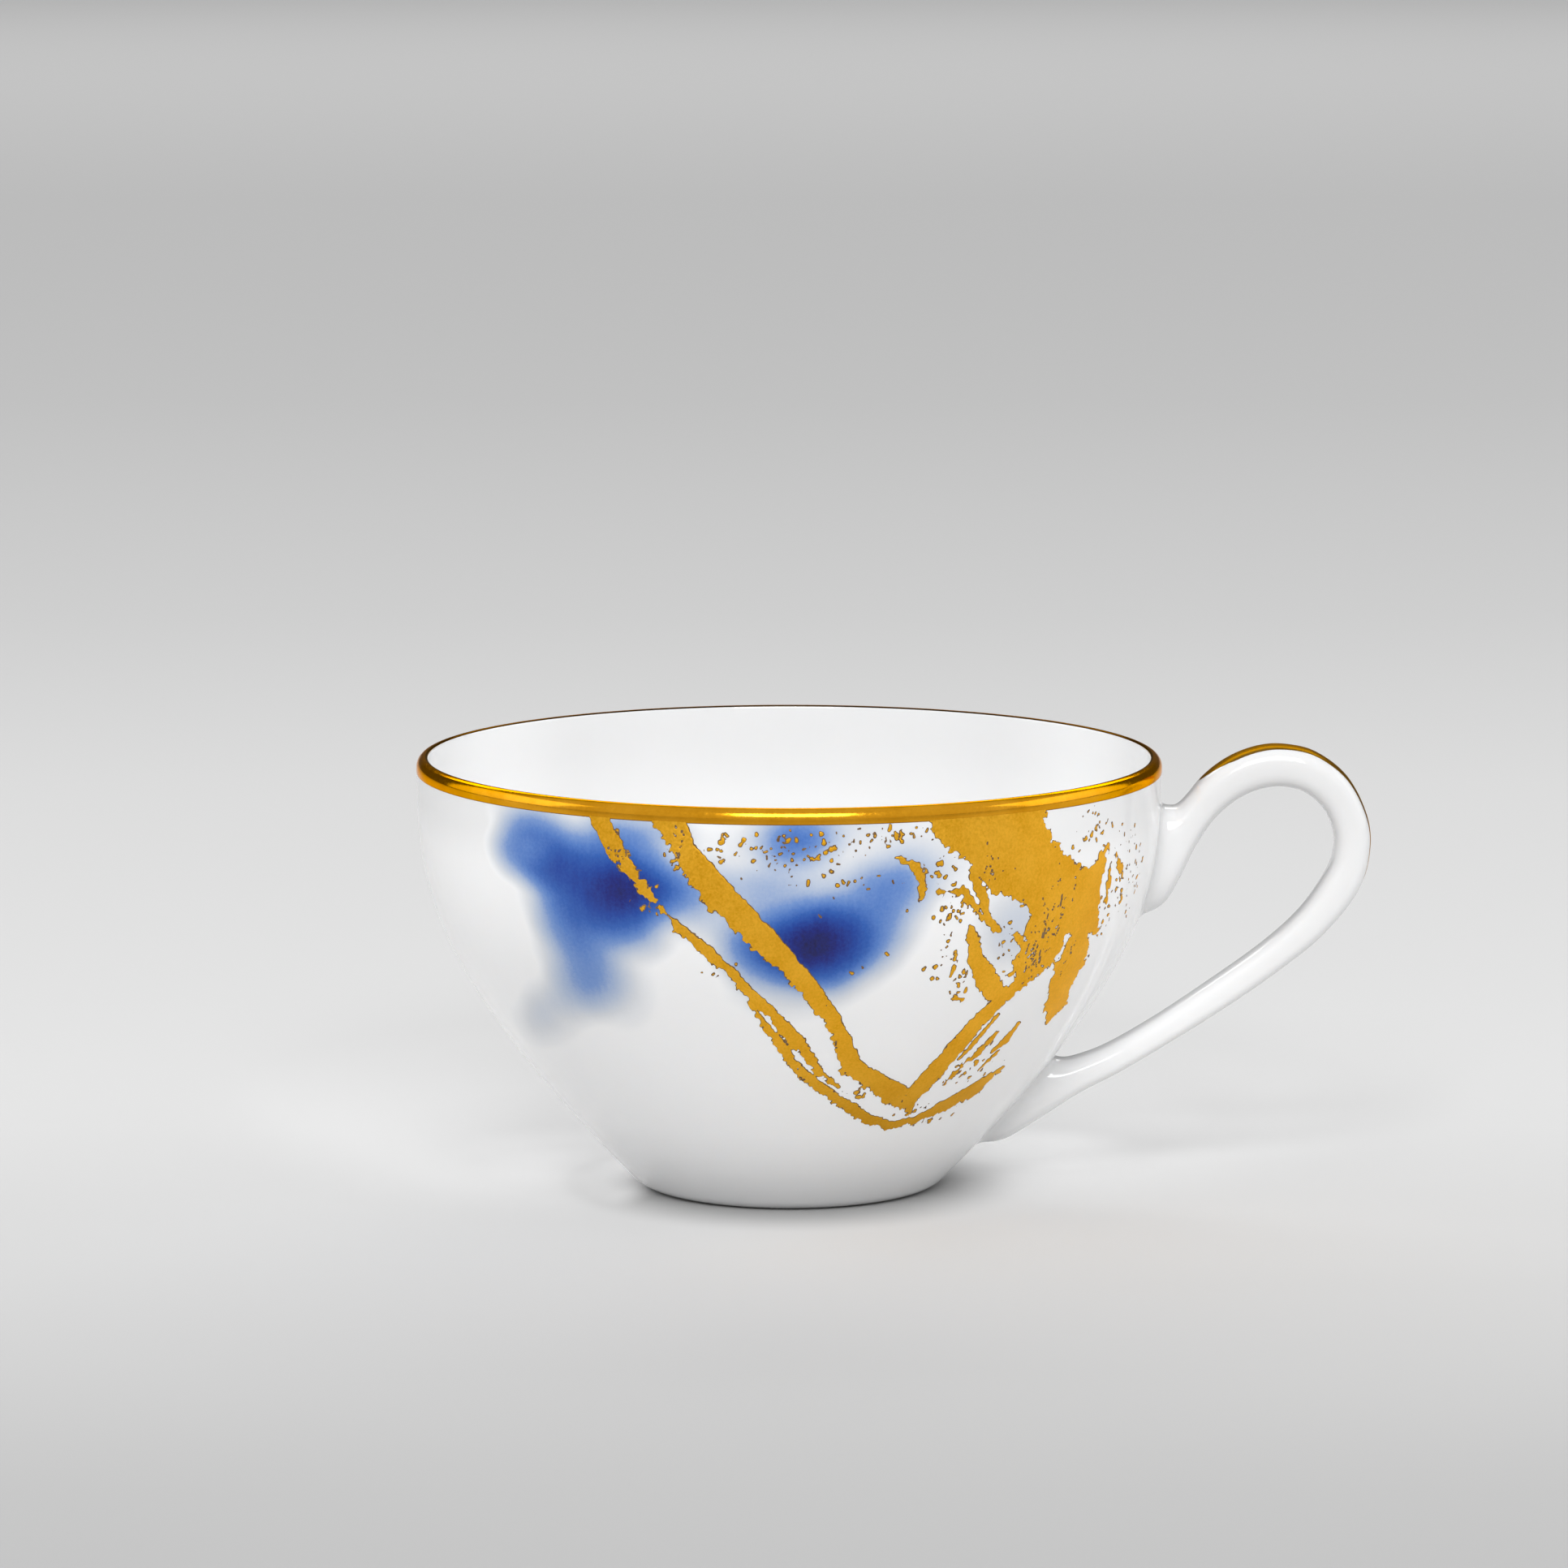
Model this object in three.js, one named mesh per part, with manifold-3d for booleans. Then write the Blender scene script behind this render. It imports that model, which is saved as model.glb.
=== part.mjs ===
// Porcelain teacup: a jollied bowl on a low foot ring, a cast strap handle luted on with slip,
// a gilded rim, a gilded line along the handle and gold printed over the front of the wall.
// Millimetres, +Z up. The cup stands on z = 0 and its handle points along +X.
import * as THREE from 'three';
import Module from 'manifold-3d';
import { mergeVertices } from 'three/addons/utils/BufferGeometryUtils.js';

// Driving dimensions of the bowl
const rimRadius = 48;
const cupHeight = 56;
const footRadius = 17.57;
const footBearingWidth = 1.4;
const footRecess = 1.9;
const heelRadius = 4;
const flankAngle = 0.807;
const flankReach = 37.2;
const rimReach = 12.9;
const straightStart = 52.4;
const lipStart = 54.7;
const lipWidth = 1.5;
const lipInnerRound = 0.4;
const wallAtRim = 1.5;
const wallAtFoot = 2.6;
const floorHeight = 4.5;

// Driving dimensions of the handle and of the joints
const handleReach = 75;
const slipGap = 0.1;
const slipThickness = 0.4;
const slipSpread = 0.9;
const handleGap = 0.6;

// Gold films: real gold is microns thick, so these solids are thicker than life
const filmGap = 0.12;
const filmThickness = 0.15;
const gildingDrop = 2;
const gildingHalfWidth = 1.9;
const gildingStart = 0.2;
const gildingEnd = 0.59;
const strokeTop = cupHeight - gildingDrop - 0.3;

const turnSegments = 48;
const wallSteps = 14;
const handleRing = 16;
const handleSteps = 54;

// Midway between the rim's far side and the handle's end, so that the frame is centred
const axisX = -(handleReach - rimRadius) / 2;

const wasm = await Module();
wasm.setup();

const group = new THREE.Group();
const cup = new THREE.Group();
cup.position.x = axisX;
group.add(cup);

function material(color, roughness, metalness) {
  return new THREE.MeshStandardMaterial({ color, roughness, metalness });
}

function porcelain() {
  return material(0xf4f4f1, 0.12, 0);
}

function gold() {
  return material(0xd69a23, 0.28, 1);
}

function addPart(name, geometry, surface) {
  const mesh = new THREE.Mesh(geometry, surface);
  mesh.name = name;
  cup.add(mesh);
}

// ---- Profile of the bowl: x is the radius from the cup's axis and y is the height ----

const heelEnd = new THREE.Vector2(
  footRadius + heelRadius * Math.sin(flankAngle),
  heelRadius * (1 - Math.cos(flankAngle)),
);
const flankDirection = new THREE.Vector2(Math.cos(flankAngle), Math.sin(flankAngle));
const wallCurve = new THREE.CubicBezierCurve(
  heelEnd,
  heelEnd.clone().addScaledVector(flankDirection, flankReach),
  new THREE.Vector2(rimRadius, straightStart - rimReach),
  new THREE.Vector2(rimRadius, straightStart),
);

function arcPoints(centreX, centreY, radiusX, radiusY, start, end, count) {
  const arc = new THREE.EllipseCurve(centreX, centreY, radiusX, radiusY, start, end, end < start);
  return arc.getPoints(count);
}

function outwardNormal(curve, t) {
  const tangent = curve.getTangent(t);
  return new THREE.Vector2(tangent.y, -tangent.x);
}

function heelPoints() {
  const start = -Math.PI / 2;
  return arcPoints(footRadius, heelRadius, heelRadius, heelRadius, start, start + flankAngle, 4);
}

function lipPoints() {
  const crest = rimRadius - lipWidth + lipInnerRound;
  const outer = arcPoints(crest, lipStart, rimRadius - crest, cupHeight - lipStart, 0, Math.PI / 2, 5);
  const innerCentre = cupHeight - lipInnerRound;
  const inner = arcPoints(crest, innerCentre, lipInnerRound, lipInnerRound, Math.PI / 2, Math.PI, 3);
  return outer.concat(inner.slice(1));
}

// The inside of the wall stands off the outside by a thickness that thins towards the rim
function innerWallPoints(count) {
  const firstStep = 0.07;
  const points = [];
  for (let i = count; i >= 0; i -= 1) {
    const t = firstStep + (1 - firstStep) * (i / count);
    const thickness = THREE.MathUtils.lerp(wallAtFoot, wallAtRim, t);
    points.push(wallCurve.getPoint(t).addScaledVector(outwardNormal(wallCurve, t), -thickness));
  }
  return points;
}

// A round cove from the inside of the wall down to the level floor
function floorPoints(last, slope) {
  const radius = (last.y - floorHeight) / (1 - Math.cos(slope));
  const centreX = last.x - radius * Math.sin(slope);
  const start = slope - Math.PI / 2;
  return arcPoints(centreX, floorHeight + radius, radius, radius, start, -Math.PI / 2, 5).slice(1);
}

function bowlProfile() {
  const bearingInside = footRadius - footBearingWidth;
  const recessCentre = bearingInside - footRecess;
  const underside = [new THREE.Vector2(0, footRecess)].concat(
    arcPoints(recessCentre, 0, footRecess, footRecess, Math.PI / 2, 0, 4),
  );
  const innerWall = innerWallPoints(wallSteps);
  const end = innerWall[innerWall.length - 1];
  const before = innerWall[innerWall.length - 2];
  const slope = Math.atan2(before.y - end.y, before.x - end.x);
  return underside.concat(
    heelPoints(),
    wallCurve.getPoints(wallSteps).slice(1),
    lipPoints(),
    innerWall,
    floorPoints(end, slope),
    [new THREE.Vector2(0, floorHeight)],
  );
}

// ---- Solids ----

function lathe(profile) {
  const geometry = new THREE.LatheGeometry(profile, turnSegments);
  geometry.rotateX(Math.PI / 2);
  return weld(geometry);
}

// Joins equal corners and drops the triangles that have shrunk to a line, as on the axis
function weld(geometry) {
  geometry.deleteAttribute('normal');
  geometry.deleteAttribute('uv');
  const merged = mergeVertices(geometry, 1e-4);
  const source = merged.index.array;
  const kept = [];
  for (let i = 0; i < source.length; i += 3) {
    const [a, b, c] = [source[i], source[i + 1], source[i + 2]];
    if (a !== b && b !== c && c !== a) kept.push(a, b, c);
  }
  merged.setIndex(kept);
  merged.computeVertexNormals();
  return merged;
}

function toManifold(geometry) {
  return new wasm.Manifold(new wasm.Mesh({
    numProp: 3,
    vertProperties: new Float32Array(geometry.attributes.position.array),
    triVerts: new Uint32Array(geometry.index.array),
  }));
}

function fromManifold(solid) {
  const mesh = solid.getMesh();
  const geometry = new THREE.BufferGeometry();
  geometry.setAttribute('position', new THREE.BufferAttribute(mesh.vertProperties, 3));
  geometry.setIndex(new THREE.BufferAttribute(mesh.triVerts, 1));
  geometry.computeVertexNormals();
  return geometry;
}

// A solid of revolution that follows the outside of the wall, standing off it by the offset
function wallOffsetSolid(offset) {
  const profile = [new THREE.Vector2(0, heelEnd.y)];
  for (let i = 0; i <= wallSteps; i += 1) {
    const t = i / wallSteps;
    profile.push(wallCurve.getPoint(t).addScaledVector(outwardNormal(wallCurve, t), offset));
  }
  profile.push(new THREE.Vector2(rimRadius + offset, cupHeight + 2));
  profile.push(new THREE.Vector2(0, cupHeight + 2));
  return toManifold(lathe(profile));
}

// Six times the volume inside a closed skin, and negative where its faces point inwards
function signedVolume(points, index) {
  let total = 0;
  for (let i = 0; i < index.length; i += 3) {
    const [a, b, c] = [points[index[i]], points[index[i + 1]], points[index[i + 2]]];
    total += a.dot(b.clone().cross(c));
  }
  return total;
}

// A closed skin over rows of equal rings, with a flat fan on each end
function ringLoft(rings) {
  const size = rings[0].length;
  const points = rings.flat();
  const index = [];
  for (let i = 0; i + 1 < rings.length; i += 1) {
    for (let j = 0; j < size; j += 1) {
      const next = (j + 1) % size;
      const [a, b] = [i * size + j, i * size + next];
      index.push(a, b, a + size, b, b + size, a + size);
    }
  }
  const last = (rings.length - 1) * size;
  for (let j = 1; j + 1 < size; j += 1) {
    index.push(0, j + 1, j, last, last + j, last + j + 1);
  }
  if (signedVolume(points, index) < 0) index.reverse();
  const geometry = new THREE.BufferGeometry().setFromPoints(points);
  geometry.setIndex(index);
  geometry.computeVertexNormals();
  return geometry;
}

// ---- Handle: two rails in the plane y = 0, from the upper joint round to the lower joint ----
// Each station holds the outer rail's radius and height, the inner rail's, and half the width.
const handleStations = [
  [44.5, 48.8, 44.0, 34.6, 4.6],
  [48.4, 49.3, 48.2, 36.5, 4.4],
  [50.0, 49.4, 50.6, 40.3, 4.1],
  [51.4, 50.7, 52.4, 44.0, 3.8],
  [53.4, 53.1, 54.8, 47.6, 3.6],
  [56.8, 55.6, 57.6, 50.1, 3.5],
  [60.5, 57.0, 60.5, 51.5, 3.5],
  [64.0, 57.2, 63.6, 51.9, 3.5],
  [68.0, 56.2, 66.6, 51.1, 3.5],
  [72.0, 53.1, 69.0, 48.9, 3.5],
  [74.5, 48.3, 70.2, 46.1, 3.5],
  [75.0, 43.8, 70.3, 43.4, 3.5],
  [73.6, 38.4, 69.2, 40.4, 3.5],
  [69.2, 32.7, 65.9, 35.6, 3.5],
  [63.6, 28.0, 61.0, 31.1, 3.4],
  [56.4, 22.9, 54.1, 26.1, 3.3],
  [49.3, 18.4, 47.3, 21.5, 3.3],
  [43.0, 14.6, 41.3, 18.0, 3.4],
  [37.5, 11.7, 37.2, 16.4, 3.7],
  [31.8, 8.0, 35.0, 16.2, 4.1],
  [27.6, 5.6, 33.0, 16.8, 4.4],
  [24.0, 5.2, 30.0, 18.0, 4.5],
];

const outerRail = rail(0);
const innerRail = rail(2);

function rail(column) {
  const points = handleStations.map((row) => new THREE.Vector3(row[column], 0, row[column + 1]));
  return new THREE.CatmullRomCurve3(points, false, 'centripetal');
}

function handleHalfWidth(t) {
  const place = t * (handleStations.length - 1);
  const low = Math.min(Math.floor(place), handleStations.length - 2);
  return THREE.MathUtils.lerp(handleStations[low][4], handleStations[low + 1][4], place - low);
}

// A point on the handle's rounded section; the angle is 0 on the outer rail
function handlePoint(t, angle, grow) {
  const outer = outerRail.getPoint(t);
  const inner = innerRail.getPoint(t);
  const across = outer.clone().sub(inner);
  const halfThickness = across.length() / 2 + grow;
  const halfWidth = handleHalfWidth(t) + grow;
  const centre = outer.clone().add(inner).multiplyScalar(0.5);
  centre.addScaledVector(across.normalize(), halfThickness * Math.cos(angle));
  centre.y += halfWidth * Math.sin(angle);
  return centre;
}

function handleLoft(grow) {
  const rings = [];
  for (let i = 0; i <= handleSteps; i += 1) {
    const ring = [];
    for (let j = 0; j < handleRing; j += 1) {
      ring.push(handlePoint(i / handleSteps, (2 * Math.PI * j) / handleRing, grow));
    }
    rings.push(ring);
  }
  return toManifold(ringLoft(rings));
}

// A slip pad fills the joint between the wall and the handle's foot, and spreads past it
function slipPad(shell, isUpper) {
  const pads = handleLoft(slipSpread).intersect(shell);
  const middle = cupHeight / 2;
  return isUpper ? pads.trimByPlane([0, 0, 1], middle) : pads.trimByPlane([0, 0, -1], -middle);
}

// ---- Gold ----

// The film over the lip, from its inside edge down the outside of the wall
function rimGilding() {
  const path = [new THREE.Vector2(rimRadius, cupHeight - gildingDrop)].concat(lipPoints().slice(0, -1));
  const curve = new THREE.SplineCurve(path);
  const outside = [];
  const inside = [];
  const count = path.length - 1;
  for (let i = 0; i <= count; i += 1) {
    const point = curve.getPoint(i / count);
    const normal = outwardNormal(curve, i / count);
    inside.push(point.clone().addScaledVector(normal, filmGap));
    outside.push(point.clone().addScaledVector(normal, filmGap + filmThickness));
  }
  const profile = outside.concat(inside.reverse());
  profile.push(profile[0].clone());
  return lathe(profile);
}

// The line of gold on the handle's back, drawn to a point at each end
function handleGilding() {
  const first = Math.round(handleSteps * gildingStart);
  const last = Math.round(handleSteps * gildingEnd);
  const rings = [];
  for (let i = first; i <= last; i += 1) {
    const t = i / handleSteps;
    const along = (i - first) / (last - first);
    const half = gildingHalfWidth * Math.max(0.12, Math.sin(Math.PI * along) ** 0.4);
    const spread = Math.asin(half / handleHalfWidth(t));
    const angles = [-1, -0.5, 0, 0.5, 1].map((share) => share * spread);
    const top = angles.map((angle) => handlePoint(t, angle, filmGap + filmThickness));
    const under = angles.map((angle) => handlePoint(t, angle, filmGap)).reverse();
    rings.push(top.concat(under));
  }
  return ringLoft(rings);
}

const wallSamples = wallCurve.getPoints(200);

// The bowl's radius and outward normal at a height on the outside of the wall
function wallAt(height) {
  let i = 1;
  while (i < wallSamples.length - 1 && wallSamples[i].y < height) i += 1;
  const [low, high] = [wallSamples[i - 1], wallSamples[i]];
  const share = Math.min((height - low.y) / (high.y - low.y), 1);
  const tangent = high.clone().sub(low).normalize();
  return { radius: THREE.MathUtils.lerp(low.x, high.x, share), rise: -tangent.x, out: tangent.y };
}

// A point on the wall: the angle is in degrees from the front, -Y, towards the handle
function wallPoint(degrees, height, offset) {
  const wall = wallAt(height);
  const angle = THREE.MathUtils.degToRad(degrees);
  const radius = wall.radius + wall.out * offset;
  return new THREE.Vector3(
    radius * Math.sin(angle),
    -radius * Math.cos(angle),
    height + wall.rise * offset,
  );
}

// A brush stroke of gold on the wall: each point is the angle, the height and half the width
function brushStroke(points, columns) {
  const path = new THREE.CatmullRomCurve3(points.map((point) => new THREE.Vector3(...point)));
  const steps = 4 * (points.length - 1);
  const rings = [];
  for (let i = 0; i <= steps; i += 1) {
    const place = path.getPoint(i / steps);
    const ahead = path.getTangent(i / steps);
    const radius = wallAt(place.y).radius;
    const perDegree = THREE.MathUtils.degToRad(radius);
    const across = new THREE.Vector2(-ahead.y, ahead.x * perDegree).normalize();
    const top = [];
    const under = [];
    for (let j = 0; j <= columns; j += 1) {
      const share = 1 - (2 * j) / columns;
      const degrees = place.x + (share * place.z * across.x) / perDegree;
      const height = Math.min(place.y + share * place.z * across.y, strokeTop);
      top.push(wallPoint(degrees, height, filmGap + filmThickness));
      under.push(wallPoint(degrees, height, filmGap));
    }
    rings.push(top.concat(under.reverse()));
  }
  return ringLoft(rings);
}

const strokes = {
  gold_stroke_left: {
    columns: 2,
    points: [[-29.5, 53.3, 1.2], [-25.5, 48.7, 1], [-21.5, 44.8, 0.5], [-16.5, 40.6, 0.7],
      [-10, 36.2, 1], [-4, 30.6, 1.3], [1.5, 25, 1.3], [5.5, 19.8, 1.2], [13, 15.6, 0.7],
      [21, 13, 1.1], [29, 12.8, 1], [38, 15, 1.6], [44.5, 17.6, 1], [47, 19.2, 0.2]],
  },
  gold_stroke_right: {
    columns: 2,
    points: [[-18, 53.3, 2], [-13.5, 48.6, 2.2], [-9.5, 43.5, 2], [-4.5, 39.6, 1.8],
      [1, 35.5, 1.6], [5.5, 31, 1.3], [8, 26.5, 1.3], [11.5, 22.4, 1.4], [17, 19.8, 1.7],
      [23, 17.6, 1.9], [27.5, 14.6, 0.4]],
  },
  gold_arm: {
    columns: 2,
    points: [[27.6, 18.2, 1.1], [30.5, 21, 1.4], [34, 25.2, 1.4], [37.6, 28.8, 1.2]],
  },
  gold_splash: {
    columns: 6,
    points: [[32.5, 53.3, 7.5], [34, 50.2, 6.6], [38.5, 46.5, 8.2], [43, 42.8, 8],
      [45.8, 38.8, 5.2], [43.2, 35, 2.8], [40.2, 32, 1.6], [38.2, 30, 1.2]],
  },
  gold_drip: {
    columns: 2,
    points: [[53, 35.9, 1.3], [53.6, 33, 1.7], [52.8, 30, 2], [53.4, 27.4, 1.9], [54.4, 25.2, 0.3]],
  },
};

addPart('bowl', lathe(bowlProfile()), porcelain());

const handleSolid = handleLoft(0).subtract(wallOffsetSolid(handleGap));
addPart('handle', fromManifold(handleSolid), porcelain());

const slipShell = wallOffsetSolid(slipGap + slipThickness).subtract(wallOffsetSolid(slipGap));
addPart('upper_joint_slip', fromManifold(slipPad(slipShell, true)), porcelain());
addPart('lower_joint_slip', fromManifold(slipPad(slipShell, false)), porcelain());

addPart('rim_gilding', rimGilding(), gold());
addPart('handle_gilding', handleGilding(), gold());

for (const [name, stroke] of Object.entries(strokes)) {
  addPart(name, brushStroke(stroke.points, stroke.columns), gold());
}

export default group;
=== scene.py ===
"""Looks of the porcelain teacup: glaze, blue washes, printed gold and gilding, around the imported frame.

Shapes are worked out in millimetres about the cup's own axis, and add_mesh() puts them into the frame.
Lengths in the materials and the studio are in metres. An angle on the wall is in degrees from the front
(-Y), towards the handle (+X).
"""

import math

import bpy
import numpy as np
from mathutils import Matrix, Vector


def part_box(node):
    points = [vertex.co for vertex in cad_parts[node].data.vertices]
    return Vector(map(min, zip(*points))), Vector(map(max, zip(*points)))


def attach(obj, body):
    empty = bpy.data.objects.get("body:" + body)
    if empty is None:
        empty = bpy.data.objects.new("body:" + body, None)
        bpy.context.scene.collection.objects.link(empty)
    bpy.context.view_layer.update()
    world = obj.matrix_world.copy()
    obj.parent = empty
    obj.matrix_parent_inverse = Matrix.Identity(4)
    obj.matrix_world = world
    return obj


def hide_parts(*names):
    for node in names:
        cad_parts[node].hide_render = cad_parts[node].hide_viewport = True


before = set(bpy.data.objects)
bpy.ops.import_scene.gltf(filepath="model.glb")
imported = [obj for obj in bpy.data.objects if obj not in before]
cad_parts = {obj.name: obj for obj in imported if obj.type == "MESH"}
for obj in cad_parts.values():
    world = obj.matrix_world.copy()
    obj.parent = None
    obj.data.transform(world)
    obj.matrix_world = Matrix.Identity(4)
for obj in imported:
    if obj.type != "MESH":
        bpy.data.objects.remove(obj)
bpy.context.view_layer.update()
scene = bpy.context.scene

MM = 0.001
bowl_low, bowl_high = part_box("bowl")
AXIS_X = (bowl_low.x + bowl_high.x) / 2 / MM
RIM_RADIUS = (bowl_high.x - bowl_low.x) / 2 / MM
CUP_HEIGHT = bowl_high.z / MM

# ---- Bowl: the driving dimensions of its profile ----
FOOT_RADIUS = 17.57
FOOT_BEARING = 1.4
FOOT_RECESS = 1.9
FOOT_EDGE = 0.25
HEEL_RADIUS = 4.0
FLANK_ANGLE = 0.807
FLANK_REACH = 37.2
RIM_REACH = 12.9
STRAIGHT_START = 52.4
LIP_START = 54.7
LIP_WIDTH = 1.5
LIP_INNER_ROUND = 0.4
WALL_AT_RIM = 1.5
WALL_AT_FOOT = 2.6
FLOOR_HEIGHT = 4.5
# The recess stops at this angle, short of the foot's edge
RECESS_END = 0.14
# The straight part under the lip has one more row of points this far up it
STRAIGHT_ROW = 1.2
# The inside leaves the wall's curve and turns into the floor at this share of it
COVE_START = 0.07
LIP_STEPS = 14
TURN_SEGMENTS = 288


def bezier(points, t):
    """Points on a cubic Bezier at the values t, and the unit tangents there."""
    a, b, c, d = (np.asarray(point, float) for point in points)
    t = np.asarray(t, float)[:, None]
    u = 1 - t
    at = u**3 * a + 3 * u**2 * t * b + 3 * u * t**2 * c + t**3 * d
    along = u**2 * (b - a) + 2 * u * t * (c - b) + t**2 * (d - c)
    return at, along / np.linalg.norm(along, axis=1)[:, None]


def arc(centre, radius_x, radius_y, start, end, count):
    """Points on an arc of a circle or ellipse, between two angles."""
    angle = np.linspace(start, end, count + 1)
    return np.stack([centre[0] + radius_x * np.cos(angle), centre[1] + radius_y * np.sin(angle)], 1)


def right_of(along):
    """The unit vectors on the right of the unit vectors given, in the plane of a profile."""
    return np.stack([along[:, 1], -along[:, 0]], 1)


FLANK_WAY = np.array([math.cos(FLANK_ANGLE), math.sin(FLANK_ANGLE)])
HEEL_END = np.array([FOOT_RADIUS + HEEL_RADIUS * FLANK_WAY[1], HEEL_RADIUS * (1 - FLANK_WAY[0])])
WALL = (
    HEEL_END,
    HEEL_END + FLANK_REACH * FLANK_WAY,
    (RIM_RADIUS, STRAIGHT_START - RIM_REACH),
    (RIM_RADIUS, STRAIGHT_START),
)
CREST_RADIUS = RIM_RADIUS - LIP_WIDTH + LIP_INNER_ROUND


def lip_profile():
    """The lip from the outside of the wall, over the crest, to its inside edge."""
    reach, rise = RIM_RADIUS - CREST_RADIUS, CUP_HEIGHT - LIP_START
    outer = arc((CREST_RADIUS, LIP_START), reach, rise, 0, math.pi / 2, LIP_STEPS)
    middle = (CREST_RADIUS, CUP_HEIGHT - LIP_INNER_ROUND)
    inner = arc(middle, LIP_INNER_ROUND, LIP_INNER_ROUND, math.pi / 2, math.pi, LIP_STEPS // 2)
    return np.vstack([outer, inner[1:]])


def bowl_profile():
    """Radius and height from the middle of the underside, out over the lip and down to the floor."""
    inside = FOOT_RADIUS - FOOT_BEARING
    recess = arc((inside - FOOT_RECESS, 0), FOOT_RECESS, FOOT_RECESS, math.pi / 2, RECESS_END, 10)
    edge = arc((inside + FOOT_EDGE, FOOT_EDGE), FOOT_EDGE, FOOT_EDGE, math.pi, 1.5 * math.pi, 4)
    heel_from = -math.pi / 2
    heel_centre = (FOOT_RADIUS, HEEL_RADIUS)
    heel = arc(heel_centre, HEEL_RADIUS, HEEL_RADIUS, heel_from, heel_from + FLANK_ANGLE, 12)
    outer, _ = bezier(WALL, np.linspace(0, 1, 120))
    share = np.linspace(1, COVE_START, 90)
    skin, tangent = bezier(WALL, share)
    thickness = WALL_AT_FOOT + (WALL_AT_RIM - WALL_AT_FOOT) * share
    inner = skin - right_of(tangent) * thickness[:, None]
    slope = math.atan2(*(inner[-2] - inner[-1])[::-1])
    cove = (inner[-1, 1] - FLOOR_HEIGHT) / (1 - math.cos(slope))
    cove_centre = (inner[-1, 0] - cove * math.sin(slope), FLOOR_HEIGHT + cove)
    floor = arc(cove_centre, cove, cove, slope - math.pi / 2, -math.pi / 2, 16)
    flat_out = np.linspace(0, 1, 8)[:, None] * np.array([recess[0, 0], 0]) + np.array([0, FOOT_RECESS])
    flat_in = np.linspace(1, 0, 10)[1:, None] * np.array([floor[-1, 0], 0]) + np.array([0, FLOOR_HEIGHT])
    straight = np.array([[RIM_RADIUS, STRAIGHT_START + STRAIGHT_ROW]])
    under = [flat_out, recess[1:], edge, heel]
    return np.vstack([*under, outer[1:], straight, lip_profile(), inner, floor[1:], flat_in])


# The outside of the wall up to the crest: its points, its normals and the arc length up to each point
skin, tangents = bezier(WALL, np.linspace(0, 1, 1500))
SKIN = np.vstack([skin, [[RIM_RADIUS, CUP_HEIGHT]]])
SKIN_NORMALS = right_of(np.vstack([tangents, [[0, 1]]]))
SKIN_LENGTHS = np.concatenate([[0], np.cumsum(np.linalg.norm(np.diff(SKIN, axis=0), axis=1))])


def length_at(height):
    """Arc length up the wall at a height."""
    return np.interp(height, SKIN[:, 1], SKIN_LENGTHS)


def wall_at(length):
    """Radius, height, and the outward normal's radial and upward shares, at an arc length."""
    return [np.interp(length, SKIN_LENGTHS, column) for column in (*SKIN.T, *SKIN_NORMALS.T)]


def on_wall(degrees, length, offset):
    """Points standing off the outside of the wall, in millimetres about the cup's axis."""
    radius, height, out, up = wall_at(length)
    angle = np.radians(degrees)
    reach = radius + out * offset
    return np.stack([reach * np.sin(angle), -reach * np.cos(angle), height + up * offset], -1)


# ---- Meshes ----


def add_mesh(name, points, faces, material):
    """A smooth mesh from points in millimetres about the cup's axis."""
    points = np.asarray(points, float).reshape(-1, 3).copy()
    points[:, 0] += AXIS_X
    mesh = bpy.data.meshes.new(name)
    mesh.from_pydata((points * MM).tolist(), [], [list(map(int, face)) for face in faces])
    mesh.validate()
    mesh.polygons.foreach_set("use_smooth", [True] * len(mesh.polygons))
    mesh.materials.append(material)
    mesh.update()
    piece = bpy.data.objects.new(name, mesh)
    scene.collection.objects.link(piece)
    return piece


def keep(piece, slot, *nodes):
    """Rides the piece on the cup and hides the CAD nodes that it stands for; the slot is not used."""
    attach(piece, "root")
    if nodes:
        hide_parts(*nodes)


def lathe(name, profile, material, closed):
    """Turns a profile about the axis. A closed one is a loop; an open one starts and ends on the axis."""
    turned = profile if closed else profile[1:-1]
    rows = len(turned)
    angle = 2 * math.pi * np.arange(TURN_SEGMENTS)[:, None] / TURN_SEGMENTS
    x = turned[:, 0] * np.sin(angle)
    y = -turned[:, 0] * np.cos(angle)
    z = np.broadcast_to(turned[:, 1], x.shape)
    points = np.stack([x, y, z], -1).reshape(-1, 3)
    # where each column of points starts, and where the next one does
    columns = [(i * rows, (i + 1) % TURN_SEGMENTS * rows) for i in range(TURN_SEGMENTS)]
    faces = []
    for a, b in columns:
        for j in range(rows if closed else rows - 1):
            k = (j + 1) % rows
            faces.append((a + j, b + j, b + k, a + k))
    if not closed:
        under, top = len(points), len(points) + 1
        points = np.vstack([points, [[0, 0, profile[0, 1]], [0, 0, profile[-1, 1]]]])
        for a, b in columns:
            faces.append((under, b, a))
            faces.append((top, a + rows - 1, b + rows - 1))
    return add_mesh(name, points, faces, material)


# ---- Node helpers ----


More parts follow.
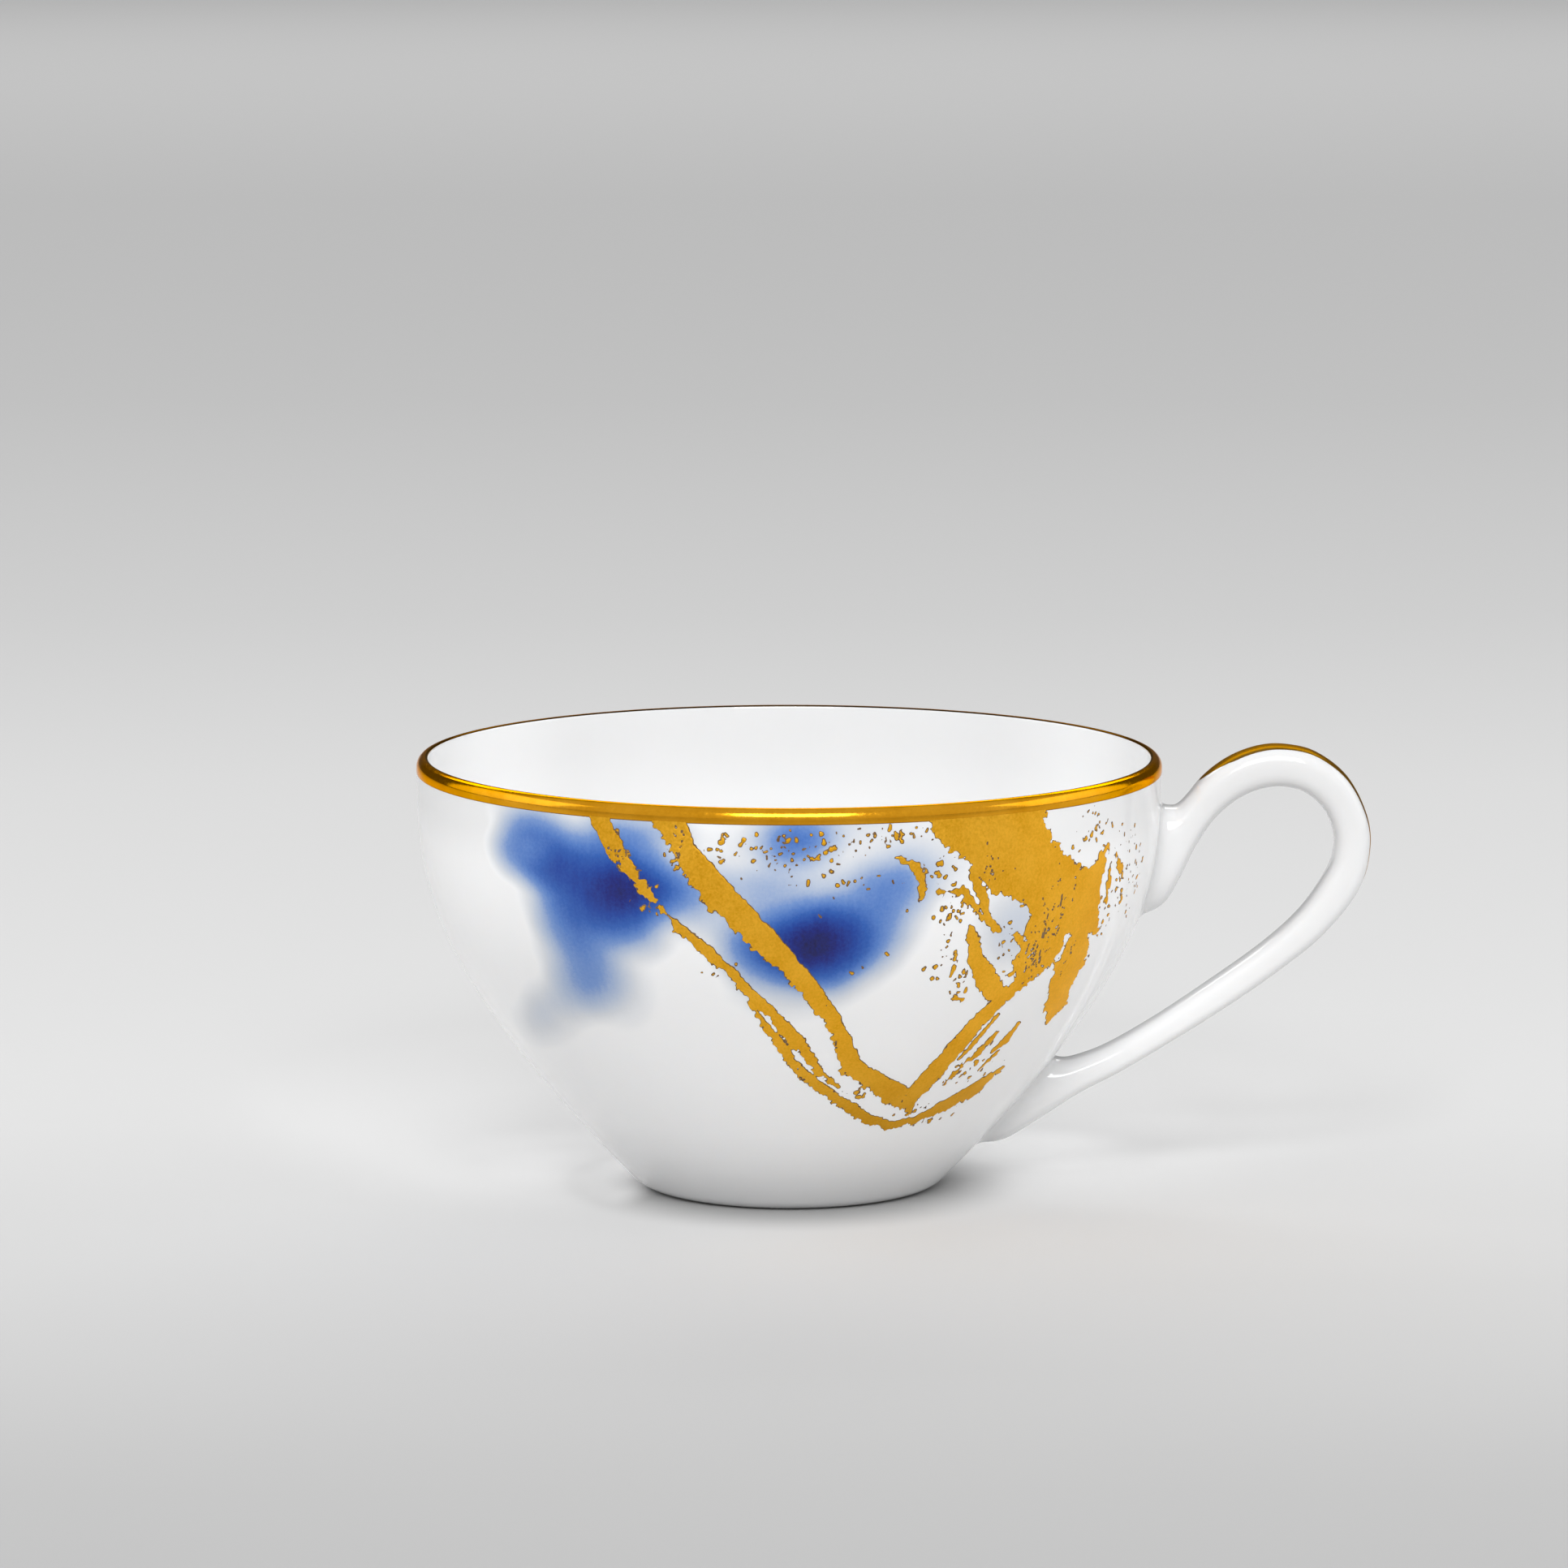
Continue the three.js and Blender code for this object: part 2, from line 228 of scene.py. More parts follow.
class Nodes:
    """Builds a node material a node at a time."""

    def __init__(self, name):
        self.material = bpy.data.materials.new(name)
        self.material.use_nodes = True
        self.tree = self.material.node_tree
        self.tree.nodes.clear()
        self.shader = self.tree.nodes.new("ShaderNodeBsdfPrincipled")
        output = self.tree.nodes.new("ShaderNodeOutputMaterial")
        self.link(self.shader.outputs[0], output.inputs[0])

    def link(self, source, target):
        self.tree.links.new(source, target)

    def put(self, socket, value):
        """Sets a socket to a number or colour, or links it to another node's output."""
        if isinstance(value, bpy.types.NodeSocket):
            self.link(value, socket)
        else:
            socket.default_value = value

    def set(self, **values):
        """Sets the shader's own sockets: base_color is the socket "Base Color"."""
        for key, value in values.items():
            title = "IOR" if key == "ior" else key.replace("_", " ").title()
            self.put(self.shader.inputs[title], value)

    def math(self, operation, a, b=0.0, c=0.0, clamp=False):
        node = self.tree.nodes.new("ShaderNodeMath")
        node.operation = operation
        node.use_clamp = clamp
        for socket, value in zip(node.inputs, (a, b, c)):
            self.put(socket, value)
        return node.outputs[0]

    def position(self):
        return self.tree.nodes.new("ShaderNodeTexCoord").outputs["Object"]

    def split(self, vector):
        node = self.tree.nodes.new("ShaderNodeSeparateXYZ")
        self.put(node.inputs[0], vector)
        return node.outputs

    def about_axis(self):
        """The point's x from the cup's axis, its y and its height."""
        x, y, z = self.split(self.position())
        return self.math("SUBTRACT", x, AXIS_X * MM), y, z

    def distance(self, a, b):
        """How far off a point is, from its two offsets."""
        squares = [self.math("MULTIPLY", offset, offset) for offset in (a, b)]
        return self.math("SQRT", self.math("ADD", *squares))

    def join(self, x, y, z=0.0):
        node = self.tree.nodes.new("ShaderNodeCombineXYZ")
        for socket, value in zip(node.inputs, (x, y, z)):
            self.put(socket, value)
        return node.outputs[0]

    def noise(self, vector, scale, detail=2.0, roughness=0.5, colour=False):
        node = self.tree.nodes.new("ShaderNodeTexNoise")
        self.put(node.inputs["Vector"], vector)
        node.inputs["Scale"].default_value = scale
        node.inputs["Detail"].default_value = detail
        node.inputs["Roughness"].default_value = roughness
        return node.outputs["Color" if colour else "Fac"]

    def vector_math(self, operation, a, b):
        node = self.tree.nodes.new("ShaderNodeVectorMath")
        node.operation = operation
        self.put(node.inputs[0], a)
        self.put(node.inputs[1], b)
        return node.outputs[0]

    def times(self, colour, level):
        """A colour made lighter or darker by a level."""
        return self.vector_math("MULTIPLY", colour, self.join(level, level, level))

    def remap(self, value, low, high, to_low=0.0, to_high=1.0, smooth=True):
        node = self.tree.nodes.new("ShaderNodeMapRange")
        node.interpolation_type = "SMOOTHSTEP" if smooth else "LINEAR"
        for socket, number in zip(node.inputs, (value, low, high, to_low, to_high)):
            self.put(socket, number)
        return node.outputs[0]

    def ramp(self, value, stops):
        node = self.tree.nodes.new("ShaderNodeValToRGB")
        node.color_ramp.interpolation = "LINEAR"
        elements = node.color_ramp.elements
        while len(elements) < len(stops):
            elements.new(0.5)
        for element, (place, colour) in zip(elements, stops):
            element.position = place
            element.color = (*colour, 1)
        self.put(node.inputs[0], value)
        return node.outputs[0]

    def mix(self, share, a, b):
        node = self.tree.nodes.new("ShaderNodeMix")
        node.data_type = "RGBA"
        self.put(node.inputs["Factor"], share)
        colours = [socket for socket in node.inputs if socket.type == "RGBA"]
        for socket, value in zip(colours, (a, b)):
            self.put(socket, (*value, 1) if isinstance(value, tuple) else value)
        return next(socket for socket in node.outputs if socket.type == "RGBA")

    def bump(self, height, strength, distance):
        node = self.tree.nodes.new("ShaderNodeBump")
        node.inputs["Strength"].default_value = strength
        node.inputs["Distance"].default_value = distance
        self.put(node.inputs["Height"], height)
        self.link(node.outputs[0], self.shader.inputs["Normal"])


# ---- Blue washes: soft blots on the wall ----
# Each holds the angle, the height, half its size in degrees and in millimetres, its turn in degrees,
# how dark it is and how much of its radius is soft.
BLOTS = [
    # left wash: the body, its dark core, the side towards the right-hand stroke and the tail that runs down
    (-41.0, 48.8, 12.6, 6.6, 0, 0.5, 0.7),
    (-31.0, 46.8, 14.0, 9.2, 0, 0.44, 0.8),
    (-33.5, 42.8, 14.0, 9.0, 0, 0.48, 0.85),
    (-25.4, 45.6, 11.4, 8.2, 0, 0.83, 1.0),
    (-20.2, 45.6, 9.5, 6.4, 0, 0.56, 1.0),
    (-23.0, 52.4, 13.0, 4.8, 0, 0.36, 1.0),
    (-43.0, 53.4, 11.0, 4.4, 0, 0.2, 1.0),
    (-13.5, 44.6, 8.5, 7.2, 0, 0.3, 1.0),
    (-34.6, 36.4, 11.8, 9.8, 0, 0.36, 1.0),
    (-37.0, 31.6, 11.0, 6.2, 12, 0.16, 1.0),
    (-45.0, 28.2, 16.0, 5.8, 20, 0.135, 1.0),
    (-55.0, 24.8, 14.0, 4.4, 14, 0.07, 1.0),
    (-24.2, 40.0, 9.0, 5.4, 0, 0.34, 1.0),
    (-30.0, 33.2, 11.0, 8.5, 0, 0.14, 1.0),
    # middle wash: the core, the body and its lobes
    (4.0, 38.8, 11.8, 7.6, 0, 0.95, 1.0),
    (4.2, 38.6, 16.8, 8.8, 0, 0.52, 0.85),
    (-5.0, 38.4, 9.5, 7.4, 0, 0.44, 1.0),
    (13.4, 42.2, 10.6, 8.6, 0, 0.36, 0.95),
    (16.0, 46.6, 9.5, 6.4, 0, 0.3, 1.0),
    (4.0, 45.8, 19.0, 5.4, 0, 0.14, 1.0),
    (-4.5, 45.4, 9.5, 5.0, 0, 0.18, 1.0),
    (0.0, 32.4, 14.0, 5.0, 0, 0.12, 1.0),
    # small wash under the rim, and the pale tint in and beside the splash
    (0.8, 52.6, 9.5, 5.4, 0, 0.46, 1.0),
    (-2.0, 49.0, 17.0, 7.0, 0, 0.14, 1.0),
    (6.0, 53.6, 22.0, 6.0, 0, 0.13, 1.0),
    (22.0, 48.4, 11.0, 7.5, 0, 0.11, 1.0),
    (36.5, 40.0, 9.5, 8.0, 0, 0.15, 0.9),
]
# The glaze's own reflection adds about this much light, so the colour under it is darker by as much
GLAZE_SHEEN = 0.026


def under_glaze(*display):
    """The colour under the glaze that shows through it as a display colour, given out of 255."""
    linear = [((value / 255 + 0.055) / 1.055) ** 2.4 for value in display]
    return tuple(max(value - GLAZE_SHEEN, 0.001) for value in linear)


CHINA = (0.864, 0.866, 0.870)
# Painted shade: how light the china is painted by the share of the cup's height, darker near the foot and
# under the rim
HEIGHT_PAINTED_SHADE = [
    (0.0, 0.85), (0.087, 0.88), (0.14, 0.935), (0.21, 0.985), (0.3, 1.0), (0.42, 1.0), (0.58, 0.955),
    (0.78, 0.94), (0.9, 0.895), (1.0, 0.885),
]
# Painted light and shade on the bowl's china: the inside is painted darker at its middle, and each face is
# painted lighter towards its left and right
INSIDE_PAINTED_SHADE = 0.915
INSIDE_PAINTED_LIGHT = 0.185
OUTSIDE_PAINTED_LIGHT = 0.11
PAINTED_LIGHT_REACH = (0.027, 0.043)
# The outside's painted light fades out under the rim, between these heights
PAINTED_LIGHT_TOP = (0.045, 0.052)
# Painted shade: the handle's china is painted darker than the bowl's
HANDLE_PAINTED_SHADE = 0.90
# The foot's bearing edge has no glaze, up to between these heights
BISCUIT_TOP = (0.00006, 0.00022)
BISCUIT = (0.72, 0.70, 0.66)
WASH_COLOURS = [
    (0.00, CHINA),
    (0.10, under_glaze(214, 217, 222)),
    (0.20, under_glaze(188, 198, 214)),
    (0.30, under_glaze(160, 177, 207)),
    (0.40, under_glaze(118, 148, 200)),
    (0.52, under_glaze(88, 124, 190)),
    (0.64, under_glaze(60, 98, 173)),
    (0.77, under_glaze(48, 76, 154)),
    (0.90, under_glaze(31, 53, 122)),
    (1.00, under_glaze(26, 37, 82)),
]
# How far the washes' edges waver, in degrees round the wall and millimetres up it
WASH_WOBBLE = (3.2, 2.4, 0)


def wash_density(nodes):
    """How much blue lies at a point: one less the product of what each blot lets through."""
    across, y, z = nodes.about_axis()
    ahead = nodes.math("MULTIPLY", y, -1.0)
    angle = nodes.math("DEGREES", nodes.math("ARCTAN2", across, ahead))
    height = nodes.math("DIVIDE", z, MM)
    wobble = nodes.noise(nodes.position(), 75.0, 2.0, 0.5, colour=True)
    shift = nodes.vector_math("SUBTRACT", wobble, (0.5, 0.5, 0.5))
    shift = nodes.vector_math("MULTIPLY", shift, WASH_WOBBLE)
    place = nodes.vector_math("ADD", nodes.join(angle, height), shift)
    through = 1.0
    for degrees, level, half_x, half_z, turn, dark, soft in BLOTS:
        mapping = nodes.tree.nodes.new("ShaderNodeMapping")
        mapping.vector_type = "TEXTURE"
        nodes.put(mapping.inputs["Vector"], place)
        mapping.inputs["Location"].default_value = (degrees, level, 0)
        mapping.inputs["Rotation"].default_value = (0, 0, math.radians(turn))
        mapping.inputs["Scale"].default_value = (half_x, half_z, 1)
        ball = nodes.tree.nodes.new("ShaderNodeTexGradient")
        ball.gradient_type = "SPHERICAL"
        nodes.link(mapping.outputs[0], ball.inputs[0])
        lets_through = nodes.remap(ball.outputs["Fac"], 0.0, soft, 1.0, 1.0 - dark)
        through = nodes.math("MULTIPLY", through, lets_through)
    density = nodes.math("SUBTRACT", 1.0, through)
    # pigment settles in fine upright streaks and grains
    streak_place = nodes.join(nodes.math("MULTIPLY", angle, 0.9), nodes.math("MULTIPLY", height, 0.12))
    streaks = nodes.noise(streak_place, 1.1, 2.0, 0.6)
    grain = nodes.noise(nodes.position(), 2600.0, 2.0, 0.6)
    streaked = nodes.remap(streaks, 0.3, 0.7, 0.985, 1.015)
    strength = nodes.math("ADD", streaked, nodes.remap(grain, 0.2, 0.8, -0.04, 0.04))
    above_foot = nodes.remap(height, 10.0, 14.0)
    return nodes.math("MULTIPLY", nodes.math("MULTIPLY", density, strength), above_foot, clamp=True)


def china_material(name, with_washes):
    """Glazed bone china, with the washes under the glaze where it is the bowl's, and painted light and
    shade: darker low on the wall and under the rim, lighter towards the sides, darker on the handle.
    """
    nodes = Nodes(name)
    place = nodes.position()
    tone = nodes.noise(place, 45.0, 3.0, 0.5)
    body = nodes.ramp(tone, [(0.3, CHINA), (0.7, tuple(channel + 0.012 for channel in CHINA))])
    across, _, z = nodes.about_axis()
    biscuit = nodes.remap(z, *BISCUIT_TOP, 1.0, 0.0)
    # painted shade by height: the china is darker low on the wall and under the rim
    painted_tones = [(height, (tone, tone, tone)) for height, tone in HEIGHT_PAINTED_SHADE]
    shade = nodes.ramp(nodes.math("DIVIDE", z, CUP_HEIGHT * MM), painted_tones)
    body = nodes.vector_math("MULTIPLY", body, shade)
    if with_washes:
        density = wash_density(nodes)
        outside = faces_outwards(nodes)
        washed = nodes.math("MULTIPLY", nodes.remap(density, 0.0, 0.03), outside)
        body = nodes.mix(washed, body, nodes.ramp(density, WASH_COLOURS))
        # painted light: the china is lighter towards its left and right, and the inside darker at its
        # middle
        side = nodes.remap(nodes.math("ABSOLUTE", across), *PAINTED_LIGHT_REACH)
        inner_painted_tone = nodes.math("MULTIPLY_ADD", side, INSIDE_PAINTED_LIGHT, INSIDE_PAINTED_SHADE)
        painted_side_light = nodes.math("MULTIPLY", side, nodes.remap(z, *PAINTED_LIGHT_TOP, 1.0, 0.0))
        outer_painted_tone = nodes.math("MULTIPLY_ADD", painted_side_light, OUTSIDE_PAINTED_LIGHT, 1.0)
        level = nodes.remap(outside, 0.0, 1.0, inner_painted_tone, outer_painted_tone, smooth=False)
    else:
        level = HANDLE_PAINTED_SHADE
    body = nodes.mix(biscuit, nodes.times(body, level), BISCUIT)
    gloss = nodes.remap(nodes.noise(place, 300.0, 3.0, 0.6), 0.3, 0.7, 0.055, 0.095)
    rough = nodes.math("MAXIMUM", gloss, nodes.math("MULTIPLY", biscuit, 0.6))
    nodes.set(base_color=body, roughness=rough, ior=1.5, subsurface_weight=0.12, subsurface_scale=0.0015)
    nodes.shader.inputs["Subsurface Radius"].default_value = (1.0, 0.85, 0.7)
    ripple = nodes.noise(place, 160.0, 2.0, 0.4)
    pits = nodes.noise(place, 1500.0, 2.0, 0.5)
    relief = nodes.math("ADD", ripple, nodes.math("MULTIPLY", pits, 0.06))
    nodes.bump(relief, 0.12, 0.0002)
    return nodes.material


def faces_outwards(nodes):
    """1 on the outside of the wall and 0 inside the cup, by which way the surface faces."""
    geometry = nodes.tree.nodes.new("ShaderNodeNewGeometry")
    across, y, _ = nodes.about_axis()
    normal_x, normal_y, _ = nodes.split(geometry.outputs["Normal"])
    shares = nodes.math("MULTIPLY", across, normal_x), nodes.math("MULTIPLY", y, normal_y)
    return nodes.remap(nodes.math("ADD", *shares), -0.001, 0.001)


GILDING_DROP = 1.95
RIM_TINT = (1.0, 0.62, 0.22, 1.0)
PRINT_TINT = (1.0, 0.88, 0.72, 1.0)
# Painted shade: the gold is painted darker low on the wall: its level there, and the heights that it rises
# between
LOW_GOLD_PAINTED_SHADE = 0.74
LOW_GOLD_SHADE_HEIGHTS = (0.010, 0.030)
# The rim's gold ends in a painted dark reflection along the crest and a brown line on the wall
CREST_PAINTED_REFLECTION = (0.035, 0.022, 0.010)
CREST_PAINTED_REFLECTION_REACH = ((CREST_RADIUS - 0.06) * MM, (CREST_RADIUS + 0.04) * MM)
LOW_LINE = (0.20, 0.10, 0.03)
LOW_LINE_REACH = ((CUP_HEIGHT - GILDING_DROP + 0.04) * MM, (CUP_HEIGHT - GILDING_DROP + 0.14) * MM)


def gilding_material(name, light, dark, rough, speckle, edge_tint, on_rim=False):
    """Fired gold: metal with faint tones and pores, with painted shade that darkens it low on the wall, and
    on the rim a painted dark reflection along the crest and a thin brown line at its edge on the wall.
    """
    nodes = Nodes(name)
    place = nodes.position()
    tone = nodes.noise(place, 180.0, 4.0, 0.6)
    grain = nodes.noise(place, 3200.0, 2.0, 0.6)
    shares = nodes.math("MULTIPLY", tone, 1 - speckle), nodes.math("MULTIPLY", grain, speckle)
    colour = nodes.ramp(nodes.math("ADD", *shares), [(0.32, dark), (0.62, light)])
    across, y, z = nodes.about_axis()
    # painted shade: the gold is darker low on the wall
    colour = nodes.times(colour, nodes.remap(z, *LOW_GOLD_SHADE_HEIGHTS, LOW_GOLD_PAINTED_SHADE, 1.0))
    if on_rim:
        # painted reflection: a dark line along the crest's inner edge
        crest_reflection = nodes.remap(nodes.distance(across, y), *CREST_PAINTED_REFLECTION_REACH, 1.0, 0.0)
        colour = nodes.mix(crest_reflection, colour, CREST_PAINTED_REFLECTION)
        low_line = nodes.remap(z, *LOW_LINE_REACH, 1.0, 0.0)
        colour = nodes.mix(low_line, colour, LOW_LINE)
    roughness = nodes.remap(grain, 0.25, 0.75, *rough)
    nodes.set(base_color=colour, metallic=1.0, specular_tint=edge_tint, roughness=roughness)
    nodes.bump(nodes.math("ADD", tone, nodes.math("MULTIPLY", grain, 0.35)), 0.25, 0.00004)
    return nodes.material


def outline_material():
    """The dark brown line that the gold is printed over."""
    nodes = Nodes("print_brown")
    tone = nodes.noise(nodes.position(), 900.0, 3.0, 0.6)
    colour = nodes.ramp(tone, [(0.3, (0.10, 0.050, 0.018)), (0.7, (0.20, 0.115, 0.045))])
    nodes.set(base_color=colour, roughness=nodes.remap(tone, 0.3, 0.7, 0.2, 0.35), ior=1.5)
    return nodes.material


china = china_material("bowl_china", with_washes=True)
plain_china = china_material("handle_china", with_washes=False)
bright_gold = gilding_material(
    "bright_gold", (0.88, 0.41, 0.022), (0.72, 0.31, 0.008), (0.10, 0.20), 0.2, RIM_TINT, on_rim=True
)
# Painted shade: the handle's line is a darker copy of the gold
shaded_handle_gold = gilding_material(
    "shaded_handle_gold", (0.33, 0.19, 0.045), (0.22, 0.12, 0.022), (0.28, 0.40), 0.3, RIM_TINT
)
print_gold = gilding_material(
    "print_gold", (1.0, 0.525, 0.040), (0.81, 0.385, 0.010), (0.34, 0.50), 0.5, PRINT_TINT
)
print_brown = outline_material()

# ---- Bowl and rim ----
bowl = lathe("porcelain_bowl", bowl_profile(), china, closed=False)
keep(bowl, "porcelain", "bowl")

# The gold stands off the glaze, its edges dip under it, and its underside is hidden in the china
GOLD_STAND = 0.04
GOLD_EDGE_DIP = 0.005
GOLD_UNDERSIDE = 0.05
# The band's lower edge slopes over this height, and its inner edge leaves out the lip's last points
BAND_SLOPE = 0.08
BAND_STOP = 3


def band_profile():
    """The gold over the lip: a thin loop that sinks into the glaze at both edges."""
    low = CUP_HEIGHT - GILDING_DROP
    start = [[RIM_RADIUS, low], [RIM_RADIUS, low + BAND_SLOPE]]
    path = np.vstack([start, lip_profile()[:-BAND_STOP]])
    along = np.gradient(path, axis=0)
    along /= np.linalg.norm(along, axis=1)[:, None]
    normal = right_of(along)
    stand = np.full(len(path), GOLD_STAND)
    stand[[0, -1]] = -GOLD_EDGE_DIP
    return np.vstack([path + normal * stand[:, None], (path - normal * GOLD_UNDERSIDE)[::-1]])


rim = lathe("gilded_rim", band_profile(), bright_gold, closed=True)
keep(rim, "gold", "rim_gilding")

# ---- Handle ----
# Each station holds the outer rail's radius and height, the inner rail's, and half the width.
HANDLE_STATIONS = np.array([
    [44.5, 48.8, 44.0, 34.6, 4.6],
    [48.4, 49.3, 48.2, 36.5, 4.4],
    [50.0, 49.4, 50.6, 40.3, 4.1],
    [51.4, 50.7, 52.4, 44.0, 3.8],
    [53.4, 53.1, 54.8, 47.6, 3.6],
    [56.8, 55.6, 57.6, 50.1, 3.5],
    [60.5, 57.0, 60.5, 51.5, 3.5],
    [64.0, 57.2, 63.6, 51.9, 3.5],
    [68.0, 56.2, 66.6, 51.1, 3.5],
    [72.0, 53.1, 69.0, 48.9, 3.5],
    [74.5, 48.3, 70.2, 46.1, 3.5],
    [75.0, 43.8, 70.3, 43.4, 3.5],
    [73.6, 38.4, 69.2, 40.4, 3.5],
    [69.2, 32.7, 65.9, 35.6, 3.5],
    [63.6, 28.0, 61.0, 31.1, 3.4],
    [56.4, 22.9, 54.1, 26.1, 3.3],
    [49.3, 18.4, 47.3, 21.5, 3.3],
    [43.0, 14.6, 41.3, 18.0, 3.4],
    [37.5, 11.7, 37.2, 16.4, 3.7],
    [31.8, 8.0, 35.0, 16.2, 4.1],
    [27.6, 5.6, 33.0, 16.8, 4.4],
    [24.0, 5.2, 30.0, 18.0, 4.5],
])
SECTION_POWER = 2.9
HANDLE_RING = 56
HANDLE_STEPS = 220
# The handle meets the wall before the first of these shares of its length and after the second
UPPER_JOINT = 0.16
LOWER_JOINT = 0.8
HALVINGS = 40
# The fillet's reach, and how far its edge sinks into the wall
FILLET = 1.3
FILLET_SINK = 0.01
FILLET_STEPS = 8
# Its other end is looked for along the handle, in strides of this share of the handle's length
FILLET_STRIDE = 0.0008
FILLET_TRIES = 60


def smooth_path(points, t):
    """A Catmull-Rom curve through rows of numbers, at t from 0 to 1."""
    points = np.vstack([2 * points[0] - points[1], points, 2 * points[-1] - points[-2]])
    place = np.clip(np.asarray(t, float), 0, 1) * (len(points) - 3)
    low = np.minimum(place.astype(int), len(points) - 4)
    u = (place - low)[:, None]
    a, b, c, d = (points[low + k] for k in range(4))
    bend, twist = 2 * a - 5 * b + 4 * c - d, 3 * b - a - 3 * c + d
    return 0.5 * (2 * b + (c - a) * u + bend * u**2 + twist * u**3)


def handle_points(t, angle, stand=0.0):
    """Points on the handle's rounded section; the angle is 0 on the outer rail."""
    row = smooth_path(HANDLE_STATIONS, t)
    across = row[:, 0:2] - row[:, 2:4]
    half = np.linalg.norm(across, axis=1) / 2
    across /= 2 * half[:, None]
    out, aside = (np.sign(v) * np.abs(v) ** (2 / SECTION_POWER) for v in (np.cos(angle), np.sin(angle)))
    middle = (row[:, 0:2] + row[:, 2:4]) / 2
    flat = middle + across * ((half + stand) * out)[:, None]
    return np.stack([flat[:, 0], (row[:, 4] + stand) * aside, flat[:, 1]], 1)


def wall_gap(points):
    """How far points are outside the wall, along its normal, with the wall's normals there."""
    radius = np.hypot(points[:, 0], points[:, 1])
    wall_radius, _, out, up = wall_at(length_at(points[:, 2]))
    normal = np.stack([out * points[:, 0] / radius, out * points[:, 1] / radius, up], 1)
    return (radius - wall_radius) * out, normal


def meet(angle, start, end):
    """Where the handle's skin at each angle meets the wall, between two places along it."""
    low = np.full(len(angle), start, float)
    high = np.full(len(angle), end, float)
    for _ in range(HALVINGS):
        middle = (low + high) / 2
        gap, _ = wall_gap(handle_points(middle, angle))
        low = np.where(gap < 0, middle, low)
        high = np.where(gap < 0, high, middle)
    return (low + high) / 2


def fillet_rows(angle, at, direction):
    """Rows of points that turn smoothly from the wall into the handle, and where they end along it."""
    meets = handle_points(at, angle)
    end = at.copy()
    for _ in range(FILLET_TRIES):
        reached = np.linalg.norm(handle_points(end, angle) - meets, axis=1) >= FILLET
        end = np.where(reached, end, end + direction * FILLET_STRIDE)
    ends = handle_points(end, angle)
    middle = meets.mean(0)
    _, normal = wall_gap(meets)
    away = meets - middle
    away -= normal * np.sum(away * normal, axis=1)[:, None]
    away /= np.linalg.norm(away, axis=1)[:, None]
    starts = meets + away * FILLET
    gap, normal = wall_gap(starts)
    starts -= normal * (gap + FILLET_SINK)[:, None]
    rows = []
    for u in np.linspace(0, 1, FILLET_STEPS + 1):
        rows.append((1 - u) ** 2 * starts + 2 * u * (1 - u) * meets + u**2 * ends)
    return rows, end


def ring_faces(rows, size):
    """The faces between rows of points that each close into a ring."""
    faces = []
    for i in range(rows - 1):
        for j in range(size):
            k = (j + 1) % size
            faces.append((i * size + j, (i + 1) * size + j, (i + 1) * size + k, i * size + k))
    return faces


def build_handle():
    """The handle's skin, with a fillet where it meets the wall at each end."""
    angle = 2 * math.pi * np.arange(HANDLE_RING) / HANDLE_RING
    upper_rows, upper_end = fillet_rows(angle, meet(angle, 0.0, UPPER_JOINT), 1)
    lower_rows, lower_end = fillet_rows(angle, meet(angle, 1.0, LOWER_JOINT), -1)
    rows = list(upper_rows)
    for i in range(1, HANDLE_STEPS):
        u = i / HANDLE_STEPS
        rows.append(handle_points(upper_end + (lower_end - upper_end) * u, angle))
    rows += lower_rows[::-1]
    faces = ring_faces(len(rows), HANDLE_RING)
    return add_mesh("porcelain_handle", np.vstack(rows), faces, plain_china)


handle = build_handle()
keep(handle, "porcelain", "handle", "upper_joint_slip", "lower_joint_slip")

# The gilded line on the handle: the shares of the handle's length that it runs between, half its width
# at its start and how much less that is at its end, how it swells from its points, and its soft edge
LINE_START = 0.178
LINE_END = 0.585
LINE_WIDTH = 2.75
LINE_NARROWS = 1.0
LINE_SWELL = 1.5
LINE_SWELL_POWER = 0.6
LINE_POINT = 0.02
LINE_EDGE = 0.12
LINE_RISE = 12
LINE_DIP = 0.01
LINE_STEPS = 150
LINE_COLUMNS = 14


def build_handle_line():
    """The gilded line along the handle's back, drawn to a point at each end."""
    share = np.linspace(-1, 1, LINE_COLUMNS + 1)
    rows = []
    for i in range(LINE_STEPS + 1):
        u = i / LINE_STEPS
        t = np.full(LINE_COLUMNS + 1, LINE_START + (LINE_END - LINE_START) * u)
        swell = min(1.0, LINE_SWELL * math.sin(math.pi * u) ** LINE_SWELL_POWER)
        width = (LINE_WIDTH - LINE_NARROWS * u) * swell + LINE_POINT
        half = smooth_path(HANDLE_STATIONS, t)[:, 4]
        reach = np.clip(np.abs(share) * width / half, 0, 0.98)
        angle = np.sign(share) * np.arcsin(reach ** (SECTION_POWER / 2))
        edge = np.minimum(1, (1 - np.abs(share)) * width / LINE_EDGE)
        rise = edge * min(1, LINE_RISE * u, LINE_RISE * (1 - u))
        rows.append(handle_points(t, angle, -LINE_DIP + (GOLD_STAND + LINE_DIP) * rise))
    faces = []
    for i in range(LINE_STEPS):
        for j in range(LINE_COLUMNS):
            a = i * (LINE_COLUMNS + 1) + j
            b = a + LINE_COLUMNS + 1
            faces.append((a, a + 1, b + 1, b))
    return add_mesh("gilded_handle_line", np.vstack(rows), faces, shaded_handle_gold)


line = build_handle_line()
keep(line, "gold", "handle_gilding")

